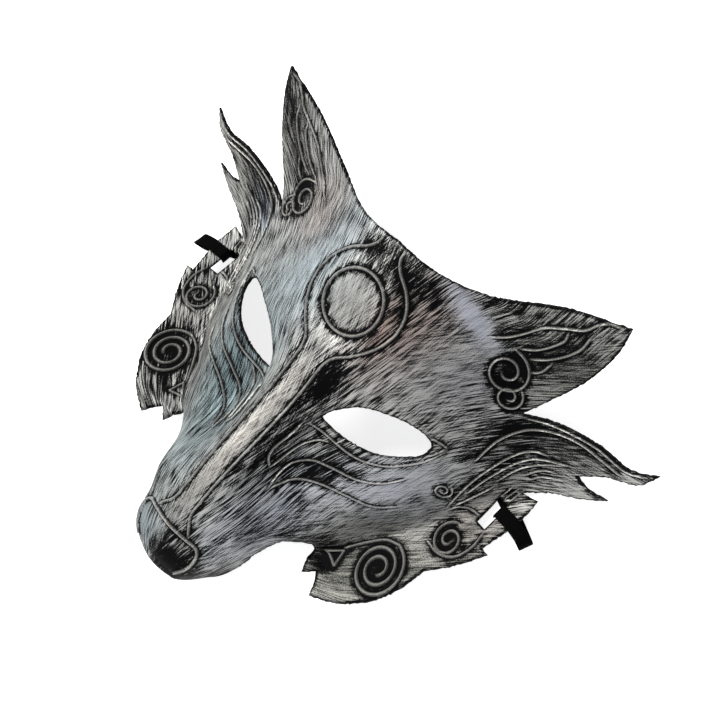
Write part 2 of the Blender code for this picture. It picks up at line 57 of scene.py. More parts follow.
BESIDE_PLANE = 0.00005

# How the mask is seated on the floor: its turn about X and its shift
SEAT_TURN = 18.3687
SEAT_SHIFT = (0.0, 0.039138, 0.053734)
SEAT = Matrix.Translation(SEAT_SHIFT) @ Matrix.Rotation(math.radians(SEAT_TURN), 4, "X")

# Edges sharper than this, in degrees, aren't shaded smooth
SHARP_ANGLE = 60.0
# Mesh fineness, in metres
EDGE_STEP = 0.0009
COARSE_STEP = 0.0011
FINE_STEP = 0.00050
BACK_STEP = 0.0013
# Cells that keep one point each, and how far loose points stay from edges and raised lines
CELL = 0.00026
EDGE_MARGIN = 0.00035
LINE_MARGIN = 0.0007
# The tables of surface lengths: their step, their first and last row, and how far they spread
TABLE_STEP = 0.0005
COLUMN_STEP = TABLE_STEP / 5.0
TABLE_ROWS = (-0.1440, 0.0575)
TABLE_SPREAD = 0.26
SHEET_SPREAD = 0.20
# Rows averaged on each side, so that steps between the sheets run out softly
TABLE_BLEND = 6
# How far the cut edges wander, how much they are rounded and over what width, in metres
RAGGED = 0.00012
EDGE_ROUND = 0.00030
ROUND_WIDTH = 0.0007
# Widths beside an edge where the relief fades out and where the paint is worn
RELIEF_FADE = 0.0010
WORN_RIM = 0.0015
# How far a raised line tapers at its ends, and how far off lines and edges are looked for
LINE_TAPER = 0.0022
LINE_REACH = 0.004
EDGE_REACH = 0.006
# How much of the relief shows on the back
BACK_RELIEF = 0.35

# The strap's cloth: points across one face, its ribs, the grooves between them in shares of its
# thickness, and its step in metres
STRAP_COLUMNS = 25
STRAP_RIBS = 12
STRAP_GROOVE = 0.14
STRAP_STEP = 0.0005
# The way of the strap's width runs along with its route, too short to add to its length
WAY_LENGTH = 0.0001

# The photo's viewpoint from the forehead ring: place in metres, and the right, up and back axes
CAMERA_PLACE = (0.1404, 0.0785, 0.2973)
CAMERA_AXES = ((0.683, 0.565, -0.463), (-0.630, 0.776, 0.018), (0.369, 0.280, 0.886))

# The lens and the width of its picture, in mm
LENS = 44.0
SENSOR_WIDTH = 36.0

FLOOR_HALF_SIDE = 3.0
FLOOR_TONE = 0.80
WORLD_COLOUR = (0.93, 0.96, 1.0, 1.0)
WORLD_STRENGTH = 0.27
# Where the lights aim
LIT_SPOT = (0.0, 0.0, 0.03)
# Soft lights: name, place from the ring in metres, size in metres, power in watts, colour
LIGHTS = (
    ("key_light", (-0.60, 0.25, 0.80), 0.6, 13.0, (1.0, 0.99, 0.97)),
    ("fill_light", (0.70, -0.25, 0.60), 0.9, 1.6, (0.97, 0.98, 1.0)),
    ("low_light", (-0.10, -0.80, 0.45), 0.8, 1.4, (1.0, 1.0, 1.0)),
)

# Sections across the face from the nose to the forehead, in percent of the face's length (along),
# of its half width (across) and of its depth (height). Each row gives the ridge on the mirror
# plane, then the bridge's side, the inner cheek, the cheekbone, the outer cheek and the rim.
SECTIONS = (
    # along, ridge, bridge,        inner,         cheekbone,     outer,         rim
    (-71.0, -8.0, (1.6, -8.5), (3.2, -9.0), (4.8, -11.0), (6.0, -13.5), (7.0, -17.0)),
    (-69.0, 15.0, (3.2, 14.0), (5.8, 12.0), (8.2, 8.0), (9.9, -2.0), (11.1, -17.0)),
    (-65.5, 25.5, (4.8, 24.5), (8.6, 22.5), (12.0, 17.5), (13.8, 4.0), (15.1, -17.0)),
    (-61.0, 29.5, (6.4, 28.5), (11.2, 26.0), (15.0, 20.0), (17.0, 4.5), (18.3, -17.0)),
    (-56.0, 31.0, (6.4, 29.5), (12.0, 26.0), (16.6, 19.0), (18.9, 4.5), (20.4, -17.0)),
    (-50.0, 29.0, (5.6, 27.5), (13.6, 24.0), (20.0, 15.5), (22.8, 2.0), (24.8, -17.0)),
    (-44.0, 26.0, (5.6, 24.0), (14.4, 13.5), (21.6, 3.5), (28.8, -7.0), (39.2, -23.0)),
    (-37.5, 21.0, (4.8, 19.5), (14.4, 0.0), (24.8, -7.5), (34.4, -15.0), (47.2, -38.0)),
    (-30.0, 14.0, (4.8, 12.0), (14.4, -7.5), (25.6, -11.0), (38.4, -18.0), (55.2, -48.0)),
    (-22.5, 8.0, (4.8, 6.0), (13.6, -7.0), (25.6, -11.0), (38.4, -17.5), (58.4, -53.0)),
    (-13.0, 3.0, (5.6, 3.0), (16.0, -1.0), (28.8, -8.0), (40.0, -20.5), (57.6, -52.0)),
    (-4.0, 1.0, (6.4, 1.0), (16.0, -1.5), (28.8, -11.5), (41.6, -28.0), (57.6, -50.0)),
    (6.0, 0.0, (6.4, -0.5), (16.0, -5.5), (28.8, -17.5), (41.6, -32.5), (57.6, -50.0)),
    (17.0, -1.5, (6.4, -2.5), (16.0, -7.5), (28.8, -19.5), (41.6, -33.5), (57.6, -51.5)),
)

# Flat sheets that grow out of the face, each through three corners (across, along, height)
SHEETS = {
    "panel": ((45.0, -51.6, -6.7), (76.4, -24.3, -45.0), (60.8, -43.2, -15.4)),
    "ear": ((70.0, 27.2, -11.5), (60.2, 5.5, -52.0), (40.6, 19.8, -18.6)),
    "lock": ((99.3, 9.2, -41.2), (92.3, -1.3, -56.7), (75.2, -9.1, -68.5)),
}
# How softly each sheet meets what lies under it, in percent of the depth
SHEET_BLEND = {"panel": 3.0, "ear": 4.5, "lock": 6.0}
# The height of the muzzle's rim, and along from where the rim falls away into the cheek
MUZZLE_RIM = -15.0
MUZZLE_END = (-47.5, -44.5)
# Across from where the panel starts beside the muzzle, and the share where it is whole
PANEL_START = (27.0, 33.5)

# The outline of one half from the forehead round to the nose, stretch by stretch: (across, along)
# in percent of the half width and of the face's length, as in the lists below
OUTLINE = {
    "forehead": ((0.0, 14.6), (16.0, 14.4), (31.0, 16.5), (51.5, 23.3), (70.0, 27.5)),
    "ear_side": ((70.0, 27.5), (70.4, 22.5), (67.4, 15.0), (61.4, 7.0), (56.8, 1.3)),
    "lock_top": ((56.8, 1.3), (65.8, 4.1), (79.8, 6.5), (92.4, 6.9), (99.3, 9.6)),
    "lock_under": ((99.3, 9.6), (96.6, 5.8), (87.6, 2.4), (81.0, -1.5)),
    "second_lock_top": ((81.0, -1.5), (85.6, -2.1), (92.3, -1.2)),
    "second_lock_under": ((92.3, -1.2), (85.8, -4.7), (78.4, -7.8), (70.7, -12.3)),
    "flap_top": ((70.7, -12.3), (75.9, -11.3)),
    "flap_side": ((75.9, -11.3), (76.2, -15.7), (73.6, -24.0)),
    "tooth": ((73.6, -24.0), (76.4, -23.9)),
    "panel_side": ((76.4, -23.9), (70.8, -29.7), (65.6, -33.8)),
    "panel_end": ((65.6, -33.8), (64.4, -38.5), (60.5, -43.7), (52.8, -48.7), (45.0, -51.5)),
    "panel_corner": ((45.0, -51.5), (42.6, -49.2)),
    "panel_notch": ((42.6, -49.2), (40.8, -48.1)),
    "panel_tip": ((40.8, -48.1), (37.3, -50.3)),
    "panel_root": ((37.3, -50.3), (34.1, -45.2)),
    "muzzle_side": ((34.1, -45.2), (29.2, -47.2), (24.8, -50.2), (21.0, -55.5), (18.7, -61.0)),
    "nose": ((18.7, -61.0), (15.3, -65.8), (11.2, -68.9), (6.0, -70.7), (0.0, -71.1)),
}

# The eye hole's middle (across, along) and its rim in percent of the eye's length from there
EYE_MIDDLE = (28.8, -17.4)
EYE_RIM = (
    (-45.5, -23.0), (-33.0, -2.0), (-18.5, 11.5), (-4.0, 18.5), (10.0, 23.0), (25.0, 25.0),
    (38.0, 23.0), (44.5, 17.0), (43.0, 6.0), (34.0, -3.0), (22.0, -12.0), (8.0, -19.0),
    (-8.0, -23.5), (-24.0, -26.0), (-37.0, -26.0),
)

# The strap slot's middle, (across, along)
SLOT_MIDDLE = (68.2, -18.6)

# Raised lines of one half, (across, along)
LINES = {
    "keyhole": (
        (4.4, 13.6), (4.8, 12.0), (6.8, 10.3), (12.0, 7.8), (15.8, 4.4), (17.0, 1.2),
        (16.6, -1.8), (14.6, -4.8), (10.6, -8.2), (6.4, -10.8), (5.0, -12.8), (4.7, -18.0),
        (4.5, -27.0), (4.2, -38.0), (3.9, -48.0), (4.3, -52.2), (6.2, -54.2), (7.8, -55.9),
    ),
    "nose_border": (
        (0.0, -56.7), (8.0, -56.6), (11.4, -56.7), (13.2, -58.0), (13.4, -60.2), (12.2, -62.6),
        (9.6, -65.2),
    ),
    "under_eye": (
        (11.4, -24.8), (20.5, -24.8), (30.0, -24.1), (37.5, -21.8), (41.2, -19.7), (45.0, -16.7),
        (47.6, -12.6),
    ),
    "hook": ((9.8, -25.2), (9.4, -28.6), (8.7, -32.4), (9.2, -34.4), (11.0, -36.3)),
    "hook_return": ((11.0, -36.3), (11.6, -33.2), (12.9, -29.4), (15.6, -26.9), (19.0, -25.6)),
    "upper_flow": (
        (14.4, -39.6), (13.6, -36.6), (14.2, -33.6), (18.0, -31.0), (24.0, -29.4), (33.6, -27.6),
        (40.0, -25.0), (44.4, -21.4),
    ),
    "lower_flow": (
        (14.9, -39.8), (17.6, -36.2), (24.0, -33.6), (33.6, -31.7), (41.6, -30.4), (47.0, -27.7),
    ),
    "panel_lead": ((42.1, -41.8), (45.8, -38.5), (50.0, -35.5), (55.0, -34.2)),
    "panel_bow": ((60.0, -30.2), (65.4, -30.1), (69.6, -28.4), (71.4, -25.2), (70.8, -22.0)),
    "panel_crest": ((57.6, -23.6), (59.0, -22.0), (62.0, -21.0), (65.8, -20.6)),
    "ear_long": (
        (37.0, 10.1), (40.9, 12.1), (44.8, 14.8), (49.2, 18.2), (54.4, 20.5), (59.5, 22.6),
        (62.0, 24.9), (64.2, 26.1), (67.7, 26.8),
    ),
    "ear_middle": ((46.1, 11.9), (50.6, 13.9), (54.3, 16.7), (56.1, 18.7), (55.9, 20.1)),
    "ear_low": ((50.2, 11.5), (54.6, 13.6), (59.1, 16.8), (61.4, 19.5), (61.8, 21.5)),
    "ear_tick": ((52.3, 9.3), (54.8, 10.8), (56.2, 13.3)),
    "eye_tick": ((44.4, -15.9), (46.1, -14.0), (47.3, -12.2)),
    "eye_point": ((47.3, -12.2), (45.1, -12.0), (43.0, -12.1)),
    "lock_rim": ((58.5, 1.2), (66.0, 3.5), (79.8, 5.9), (91.5, 6.2), (96.6, 7.8)),
    "lock_high": (
        (54.9, -12.0), (55.5, -8.3), (56.6, -5.2), (60.8, -0.6), (68.4, 2.8), (76.4, 4.5),
        (84.8, 4.8), (91.5, 4.9),
    ),
    "lock_second": (
        (56.9, -22.9), (57.1, -19.2), (57.9, -15.2), (59.4, -11.3), (61.3, -7.7), (63.9, -4.7),
        (66.8, -3.0), (70.4, -2.1),
    ),
    "lock_third": (
        (58.6, -18.7), (59.9, -14.7), (61.7, -11.1), (63.9, -7.7), (67.0, -4.9), (70.2, -3.3),
        (77.7, -0.6),
    ),
    "lock_fourth": (
        (62.9, -13.0), (64.2, -10.3), (65.9, -8.0), (68.1, -6.1), (72.0, -3.6), (76.6, -1.2),
    ),
    "lock_fifth": ((58.0, -22.3), (60.5, -18.6), (63.0, -14.7)),
    "lock_sixth": ((68.0, -8.8), (69.9, -6.7), (72.8, -4.7), (74.9, -4.1)),
    "lock_low": ((69.8, -9.1), (72.5, -6.6), (75.9, -5.1)),
    "flap_inner": ((66.6, -15.2), (67.3, -12.3)),
    "flap_middle": ((68.0, -15.2), (69.0, -12.2)),
    "flap_outer": ((69.6, -15.2), (70.3, -12.6)),
}

# Spirals of one half: middle (across, along), outer and inner radius in percent of the face's
# length, the angle in degrees where the outer end stands, and clockwise turns from there inwards
SPIRALS = {
    "panel_spiral": ((54.8, -39.6), 5.2, 1.2, 95.0, 2.4),
    "second_panel_spiral": ((64.4, -27.3), 3.3, 0.6, 100.0, -1.7),
    "ear_spiral": ((46.6, 6.6), 4.5, 1.1, 100.0, 1.6),
    "second_ear_spiral": ((51.2, 2.8), 2.7, 0.7, 70.0, 1.4),
    "cheek_spiral": ((53.2, -20.4), 1.6, 0.4, 60.0, 1.5),
}

# The small raised triangle's corners, (across, along)
TRIANGLE = ((38.3, -44.4), (42.6, -42.3), (43.9, -45.3))


def placed(name, data):
    """A new object in the scene."""
    thing = bpy.data.objects.new(name, data)
    bpy.context.scene.collection.objects.link(thing)
    return thing


def hermite(knots, values, slopes, at):
    """Smooth curves through rows of values, carried on straight past both ends."""
    span = np.clip(np.searchsorted(knots, at) - 1, 0, len(knots) - 2)
    step = (knots[span + 1] - knots[span])[:, None]
    share = (at - knots[span])[:, None] / step
    inside = np.clip(share, 0.0, 1.0)
    square, cube = inside ** 2, inside ** 3
    result = (2 * cube - 3 * square + 1) * values[span] + (cube - 2 * square + inside) * step * slopes[span]
    result += (3 * square - 2 * cube) * values[span + 1] + (cube - square) * step * slopes[span + 1]
    outside = (share - inside) * step
    return result + outside * np.where(share < 0.0, slopes[span], slopes[span + 1])


def knot_slopes(knots, values):
    """Slopes at each knot, weighted from the spans on both sides."""
    steps = np.diff(knots)[:, None]
    rises = np.diff(values, axis=0) / steps
    inner = (rises[:-1] * steps[1:] + rises[1:] * steps[:-1]) / (steps[1:] + steps[:-1])
    return np.vstack([rises[:1], inner, rises[-1:]])


def section_columns():
    """The section table as knots along the face and, for each, places across and heights."""
    along = np.array([row[0] for row in SECTIONS]) / 100.0 * FACE_LENGTH
    across = np.array([[0.0] + [pair[0] for pair in row[2:]] for row in SECTIONS]) / 100.0 * HALF_WIDTH
    height = np.array([[row[1]] + [pair[1] for pair in row[2:]] for row in SECTIONS]) / 100.0 * FACE_DEPTH
    return along, across, height


def face_height(x, y):
    """Height of the face alone, without ears, locks and panels."""
    along, across, height = section_columns()
    places = hermite(along, across, knot_slopes(along, across), y)
    levels = hermite(along, height, knot_slopes(along, height), y)
    steps = np.diff(places, axis=1)
    rises = np.diff(levels, axis=1) / steps
    inner = (rises[:, :-1] * steps[:, 1:] + rises[:, 1:] * steps[:, :-1]) / (steps[:, 1:] + steps[:, :-1])
    slopes = np.hstack([np.zeros((len(x), 1)), inner, rises[:, -1:]])
    span = np.clip((x[:, None] > places).sum(axis=1) - 1, 0, places.shape[1] - 2)
    row = np.arange(len(x))
    step = steps[row, span]
    share = (x - places[row, span]) / step
    inside = np.clip(share, 0.0, 1.0)
    square, cube = inside ** 2, inside ** 3
    result = (2 * cube - 3 * square + 1) * levels[row, span]
    result += (cube - 2 * square + inside) * step * slopes[row, span]
    result += (3 * square - 2 * cube) * levels[row, span + 1]
    result += (cube - square) * step * slopes[row, span + 1]
    return result + (share - inside) * step * slopes[row, span + 1]


def smooth_step(low, high, value):
    """From 0 to 1 between the low and the high value, with soft ends."""
    share = np.clip((value - low) / (high - low), 0.0, 1.0)
    return share * share * (3.0 - 2.0 * share)


def sheet_height(name, x, y):
    """Height of a flat sheet through its three corners."""
    corners = np.array(SHEETS[name]) / 100.0 * (HALF_WIDTH, FACE_LENGTH, FACE_DEPTH)
    plan = np.column_stack([np.ones(3), corners[:, 0], corners[:, 1]])
    level, slope_across, slope_along = np.linalg.solve(plan, corners[:, 2])
    height = level + slope_across * x + slope_along * y
    if name == "panel":
        start, whole = (share / 100.0 * HALF_WIDTH for share in PANEL_START)
        height -= FACE_DEPTH * (1.0 - smooth_step(start, whole, x))
    return height


def mask_height(x, y):
    """Height of the smooth front surface at places given as arrays."""
    x = np.abs(x)
    height = face_height(x, y)
    start, end = (share / 100.0 * FACE_LENGTH for share in MUZZLE_END)
    rim = (MUZZLE_RIM / 100.0 - smooth_step(start, end, y)) * FACE_DEPTH
    height = 0.5 * (height + rim + np.sqrt((height - rim) ** 2 + (0.01 * FACE_DEPTH) ** 2))
    for name, blend in SHEET_BLEND.items():
        softness = blend / 100.0 * FACE_DEPTH
        other = sheet_height(name, x, y)
        height = 0.5 * (height + other + np.sqrt((height - other) ** 2 + softness ** 2))
    disc = 1.0 - smooth_step(RING_RADIUS, 1.6 * RING_RADIUS, np.hypot(x, y))
    return height * (1.0 - disc)


def mask_normals(x, y):
    """Unit normals of the smooth front surface."""
    reach = 0.0002
    slope_x = (mask_height(x + reach, y) - mask_height(x - reach, y)) / (2.0 * reach)
    slope_y = (mask_height(x, y + reach) - mask_height(x, y - reach)) / (2.0 * reach)
    slope_x = np.where(x < ON_PLANE, 0.0, slope_x)
    normals = np.column_stack([-slope_x, -slope_y, np.ones(len(x))])
    return normals / np.linalg.norm(normals, axis=1)[:, None]


def on_face(shares):
    """Places (across, along) in metres from shares in percent."""
    return np.array(shares, dtype=float) / 100.0 * (HALF_WIDTH, FACE_LENGTH)


def smooth_run(points, step, closed=False):
    """Points spaced evenly along a smooth curve through the given points."""
    points = np.asarray(points, dtype=float)
    if len(points) == 2:
        fine = points[0] + np.linspace(0.0, 1.0, 9)[:, None] * (points[1] - points[0])
    else:
        if closed:
            points = np.vstack([points[-2:], points, points[:2]])
        chords = np.sqrt(np.linalg.norm(np.diff(points, axis=0), axis=1))
        knots = np.concatenate([[0.0], np.cumsum(chords)])
        first, last = (knots[2], knots[-2]) if closed else (knots[0], knots[-1])
        places = np.linspace(first, last, 24 * len(points))
        fine = hermite(knots, points, knot_slopes(knots, points), places)
    lengths = np.concatenate([[0.0], np.cumsum(np.linalg.norm(np.diff(fine, axis=0), axis=1))])
    count = max(1, round(lengths[-1] / step))
    places = np.linspace(0.0, lengths[-1], count + 1)
    run = np.column_stack([np.interp(places, lengths, fine[:, axis]) for axis in range(fine.shape[1])])
    return run[:-1] if closed else run


# Where points stand across a raised line, in shares of its width
LINE_SHARES = (0.0, -0.24, 0.24, -0.5, 0.5, -0.85, 0.85)
# Raised lines' width and height in metres, how black the paint is beside them and how far it reaches
LINE_KINDS = {
    "usual": (0.0013, 0.0008, 0.85, 0.0004),
    "ring": (0.0016, 0.0010, 0.95, 0.0007),
    "keyhole": (0.0015, 0.0009, 0.85, 0.0005),
    "nose_border": (0.0018, 0.0011, 0.90, 0.0005),
    "panel_spiral": (0.0016, 0.0010, 0.80, 0.0006),
    "second_panel_spiral": (0.0014, 0.0009, 1.00, 0.0005),
    "ear_spiral": (0.0013, 0.0009, 1.00, 0.0005),
    "second_ear_spiral": (0.0012, 0.0009, 1.00, 0.0005),
    "cheek_spiral": (0.0011, 0.0007, 0.90, 0.0005),
    "lock_rim": (0.0010, 0.0006, 0.60, 0.0004),
    "flap_inner": (0.0008, 0.0005, 0.80, 0.0004),
    "flap_middle": (0.0008, 0.0005, 0.80, 0.0004),
    "flap_outer": (0.0008, 0.0005, 0.80, 0.0004),
}

# Brush strokes: the angles, in degrees from the mirror plane, of the sets that are blended
STROKE_ANGLES = (-75.0, -45.0, -15.0, 15.0, 45.0, 75.0)
# The strokes fan out from a point this far from the ring towards the nose, in mm
FAN_LENGTH = 150.0
# How far they turn outwards over the brow and on the lock, and inwards on the panel, in degrees
BROW_TURN = 20.0
LOCK_TURN = 8.0
PANEL_TURN = 5.0

# How often the noise of the strokes repeats per mm, across and along them; of the specks, of the
# blotches, and of the patches where the black beside the lines is worn
FINE_STROKES = (2.3, 0.11, 1.0)
BROAD_STROKES = (0.80, 0.045, 1.0)
SPECK_SCALE = 2.4
BLOTCH_SCALE = 0.16
PATCH_SCALE = 0.45
# How much each of them, the worn edges and the crests change the cover of silver
FINE_AMOUNT = 4.2
BROAD_AMOUNT = 2.2
BLOTCH_AMOUNT = 0.8
SPECK_AMOUNT = 1.1
RIM_AMOUNT = 0.7
CREST_AMOUNT = 0.6
# Keeps the noise of one half apart from the other half's, in mm
SIDE_SHIFT = 40.0

# How little the paint and the cloth reflect, and how metallic the silver is
MATT_LEVEL = 0.03
METAL_SHARE = 0.35
BLACK_PAINT = (0.0025, 0.0025, 0.003, 1.0)
BLACK_BACK = (0.006, 0.006, 0.0065, 1.0)
# Lighter silver on the crests: silver rubbed on there and a painted highlight
CREST_SILVER_AND_HIGHLIGHT = (0.41, 0.40, 0.375, 1.0)
STRAP_BLACKS = ((0.0012, 0.0012, 0.0014, 1.0), (0.0035, 0.0035, 0.0038, 1.0))

# The silver where no patch changes it, the least share of its strokes that stays, and how fully a
# tint takes over at the middle of its patch
PLAIN_SILVER = 0.55
LEAST_STREAK = 0.22
TINT_SHARE = 0.9

# Where the silver is thicker or thinner, and where painted highlights and painted light lie, marked below:
# (x, y) in mm, reach along the turn and across it in mm, turn in degrees from +Y towards +X, and how much
# silver is added
SILVER_AND_PAINTED_LIGHT_PATCHES = (
    (-22, 5, 34, 16, 0, 0.12),
    (-30, 17, 9, 6, 20, -0.25),
    (-10, -30, 30, 8, 0, 0.05),
    (0, -70, 46, 5, 0, 0.25),
    (0, 0, 11, 11, 0, 0.12),
    (-5, 22, 8, 7, -40, -0.45),
    (9, 20, 8, 9, 40, -0.48),
    (20, 21, 10, 7, 50, -0.60),
    (44, 34, 16, 4, 60, -0.40),
    (13, -26, 12, 6, 8, -0.30),
    (15, 2, 12, 3.5, -10, -0.22),
    # Painted highlight: a light band along the ridge from the forehead to the ear
    (38, 23, 16, 3.6, 114, 0.75),
    (28, 8, 14, 8, 60, -0.12),
    # Painted sheen: a pale patch on the brow
    (44, 2, 18, 11, 30, 0.12),
    (50, 27, 12, 5, 40, -0.25),
    (60, 20, 10, 6, 30, -0.30),
    (58, 12, 6, 5, 0, -0.60),
    (65, 5, 4, 4, 0, -0.50),
    (72, 32, 24, 14, 50, -0.26),
    (88, 2, 24, 8, 60, -0.30),
    (73, -2, 10, 4.5, 60, -0.65),
    (11, -31, 10, 5, 15, -0.45),
    (24, -62, 16, 9, 30, -0.42),
    (34, -56, 14, 7, 40, -0.30),
    (10, -60, 26, 4, 6, -0.40),
    (10, -36, 10, 5, 10, -0.35),
    (34, -92, 10, 8, 40, -0.25),
    (26, -88, 26, 12, 10, -0.06),
    (54, -38, 16, 9, 30, 0.28),
    (50, -54, 22, 7, 40, 0.28),
    (72, -14, 12, 7, 40, -0.35),
    (66, -22, 8, 6, 30, -0.30),
    (76, -28, 12, 6, 30, -0.15),
    (50, -90, 7, 6, 0, -0.80),
    (68, -79, 7, 7, 0, -0.55),
    (80, -55, 5, 5, 0, -0.40),
    (9, -130, 11, 13, 0, -0.95),
    (5, -120, 10, 7, 0, -0.40),
    # Painted light: more silver down the nose's left side, which lies in shade
    (-9, -122, 8, 12, 0, 0.20),
    (-19, -122, 6, 14, 0, 0.60),
    (-84, 44, 14, 8, -30, -0.45),
    (-70, 22, 14, 5, -35, -0.30),
    (-88, 2, 20, 6, -60, -0.38),
    (-70, -80, 9, 9, 0, -0.85),
    (-58, -90, 12, 6, 0, -0.45),
    (-82, -52, 9, 7, 0, -0.20),
    (-60, 12, 9, 7, 0, -0.35),
    (-72, -4, 12, 5, -55, -0.20),
    (-32, -52, 18, 5, -20, -0.25),
)

# How streaky the paint is against its usual state: patches as above, with what is added to one
STREAK_PATCHES = (
    (66, -82, 30, 22, 40, -0.85),
    # The painted highlight's band is kept smooth
    (38, 23, 16, 4, 114, -0.35),
    (84, -46, 18, 12, 0, -0.45),
    (0, 0, 11, 11, 0, -0.60),
    (0, -70, 46, 5, 0, -0.40),
    (-30, 0, 34, 18, 0, -0.55),
    (-30, -64, 44, 20, -20, -0.40),
    (78, 30, 22, 16, 50, -0.60),
    (96, 4, 22, 10, 60, -0.50),
    (54, -40, 22, 12, 30, -0.25),
    # The painted sheen's patch is kept smooth
    (42, 4, 22, 14, 30, -0.42),
    (-72, 34, 26, 14, -40, -0.55),
    (-92, 0, 24, 12, -50, -0.45),
)

# Tints of the silver, and the colours of a painted highlight and a painted sheen: (x, y) in mm, reaches in
# mm, turn in degrees, and colour
PLAIN_TINT = (0.36, 0.36, 0.345)
TINT_AND_PAINTED_LIGHT_PATCHES = (
    (-26, 2, 36, 16, 0, (0.325, 0.38, 0.41)),
    (0, 0, 12, 12, 0, (0.32, 0.325, 0.31)),
    (-44, 16, 16, 14, 0, (0.38, 0.34, 0.32)),
    (-30, -62, 44, 20, -20, (0.165, 0.235, 0.255)),
    (24, 6, 26, 12, 10, (0.28, 0.225, 0.205)),
    # Painted sheen: pale grey on the brow
    (52, 4, 18, 12, 40, (0.29, 0.285, 0.30)),
    # Painted highlight: the bluish light band along the ridge to the ear
    (38, 23, 17, 5, 114, (0.38, 0.395, 0.46)),
    (26, -86, 32, 12, 10, (0.315, 0.335, 0.375)),
    (52, -52, 22, 12, 40, (0.42, 0.435, 0.475)),
    (0, -70, 50, 5, 0, (0.36, 0.34, 0.315)),
    (-10, -124, 11, 16, 0, (0.21, 0.245, 0.26)),
    (9, -128, 9, 10, 0, (0.16, 0.14, 0.105)),
    (92, 2, 20, 10, 60, (0.255, 0.255, 0.25)),
    (76, 30, 24, 20, 60, (0.20, 0.20, 0.182)),
    (66, -82, 26, 20, 40, (0.23, 0.228, 0.20)),
    (84, -46, 18, 12, 0, (0.28, 0.26, 0.24)),
    (-72, -78, 26, 22, -40, (0.27, 0.265, 0.25)),
    (-98, 4, 20, 10, -60, (0.27, 0.265, 0.245)),
    (-80, -6, 10, 7, -50, (0.33, 0.38, 0.45)),
    (-78, 34, 22, 13, -40, (0.30, 0.295, 0.275)),
    (16, 0, 14, 4, -10, (0.30, 0.225, 0.20)),
)


def unrolled_tables():
    """Lengths along the surface: across from the mirror plane at each place, and along the ridge."""
    xs = np.arange(0.0, HALF_WIDTH + 2.0 * TABLE_STEP, COLUMN_STEP)
    ys = np.arange(*TABLE_ROWS, TABLE_STEP)
    x, y = np.meshgrid(xs, ys)
    z = mask_height(x.ravel(), y.ravel()).reshape(x.shape)
    on_sheet = inside_loop(np.column_stack([x.ravel(), y.ravel()]), outline_points()).reshape(x.shape)
    rise = np.diff(z, axis=1) * (on_sheet[:, 1:] & on_sheet[:, :-1])
    run = np.hypot(rise, COLUMN_STEP)
    above = np.pad(run, ((TABLE_BLEND, TABLE_BLEND), (0, 0)), mode="edge")
    summed = np.cumsum(np.vstack([np.zeros((1, run.shape[1])), above]), axis=0)
    window = 2 * TABLE_BLEND + 1
    run = (summed[window:] - summed[:-window]) / window
    across = np.hstack([np.zeros((len(ys), 1)), np.cumsum(run, axis=1)])
    along = np.concatenate([[0.0], np.cumsum(np.hypot(np.diff(z[:, 0]), TABLE_STEP))])
    along -= np.interp(0.0, ys, along)
    spread = np.arange(0.0, TABLE_SPREAD, COLUMN_STEP)
    back = np.array([np.interp(spread, row, xs) for row in across])
    return {"y": ys, "across": across, "along": along, "back": back}


def look_up(table, first_row, column, row):
    """Values between the places of a regular table."""
    column = np.clip(column / COLUMN_STEP, 0.0, table.shape[1] - 1.001)
    row = np.clip((row - first_row) / TABLE_STEP, 0.0, table.shape[0] - 1.001)
    i, j = row.astype(int), column.astype(int)
    u, v = row - i, column - j
    low = table[i, j] * (1.0 - v) + table[i, j + 1] * v
    high = table[i + 1, j] * (1.0 - v) + table[i + 1, j + 1] * v
    return low * (1.0 - u) + high * u


def unroll(points, tables):
    """From places in the flat drawing to lengths along the surface."""
    across = look_up(tables["across"], tables["y"][0], points[:, 0], points[:, 1])
    return np.column_stack([across, np.interp(points[:, 1], tables["y"], tables["along"])])


def roll_back(points, tables):
    """From lengths along the surface to places in the flat drawing."""
    y = np.interp(points[:, 1], tables["along"], tables["y"])
    x = look_up(tables["back"], tables["y"][0], points[:, 0], y)
    x[points[:, 0] < ON_PLANE] = 0.0
    return np.column_stack([x, y])


def outline_points():
    """The half outline, a little ragged where the sheet was trimmed."""
    rng = np.random.default_rng(11)
    runs = []
    for name, points in OUTLINE.items():
        run = smooth_run(on_face(points), EDGE_STEP)
        if len(run) > 4 and name != "nose":
            inner = run[1:-1]
            shift = rng.normal(0.0, RAGGED, inner.shape)
            shift[inner[:, 0] < 2.0 * EDGE_STEP, 0] = 0.0
            run[1:-1] = inner + shift
        runs.append(run)
    return np.vstack([run[:-1] for run in runs] + [runs[-1][-1:]])


def eye_points():
    """The eye hole's rim, a little ragged where it was cut."""
    rng = np.random.default_rng(12)
    rim = smooth_run(on_face(EYE_MIDDLE) + np.array(EYE_RIM) / 100.0 * EYE_LENGTH, EDGE_STEP, closed=True)
    return rim + rng.normal(0.0, RAGGED, rim.shape)


def slot_points():
    """The strap slot's rim."""
    middle = on_face(SLOT_MIDDLE)
    half = np.array([SLOT_WIDTH, SLOT_LENGTH]) / 2.0
    corners = middle + np.array(((-1, -1), (1, -1), (1, 1), (-1, 1))) * half
    runs = [smooth_run([a, b], EDGE_STEP)[:-1] for a, b in zip(corners, np.roll(corners, -1, axis=0))]
    return np.vstack(runs)


def spiral_points(middle, outer, inner, start, turns):
    """A spiral from its outer end inwards; a negative count of turns runs anticlockwise."""
    share = np.linspace(0.0, 1.0, max(24, round(abs(turns) * 40)))
    angle = np.radians(start) - 2.0 * math.pi * turns * share
    radius = (outer + (inner - outer) * share) / 100.0 * FACE_LENGTH
    return on_face(middle) + np.column_stack([radius * np.cos(angle), radius * np.sin(angle)])


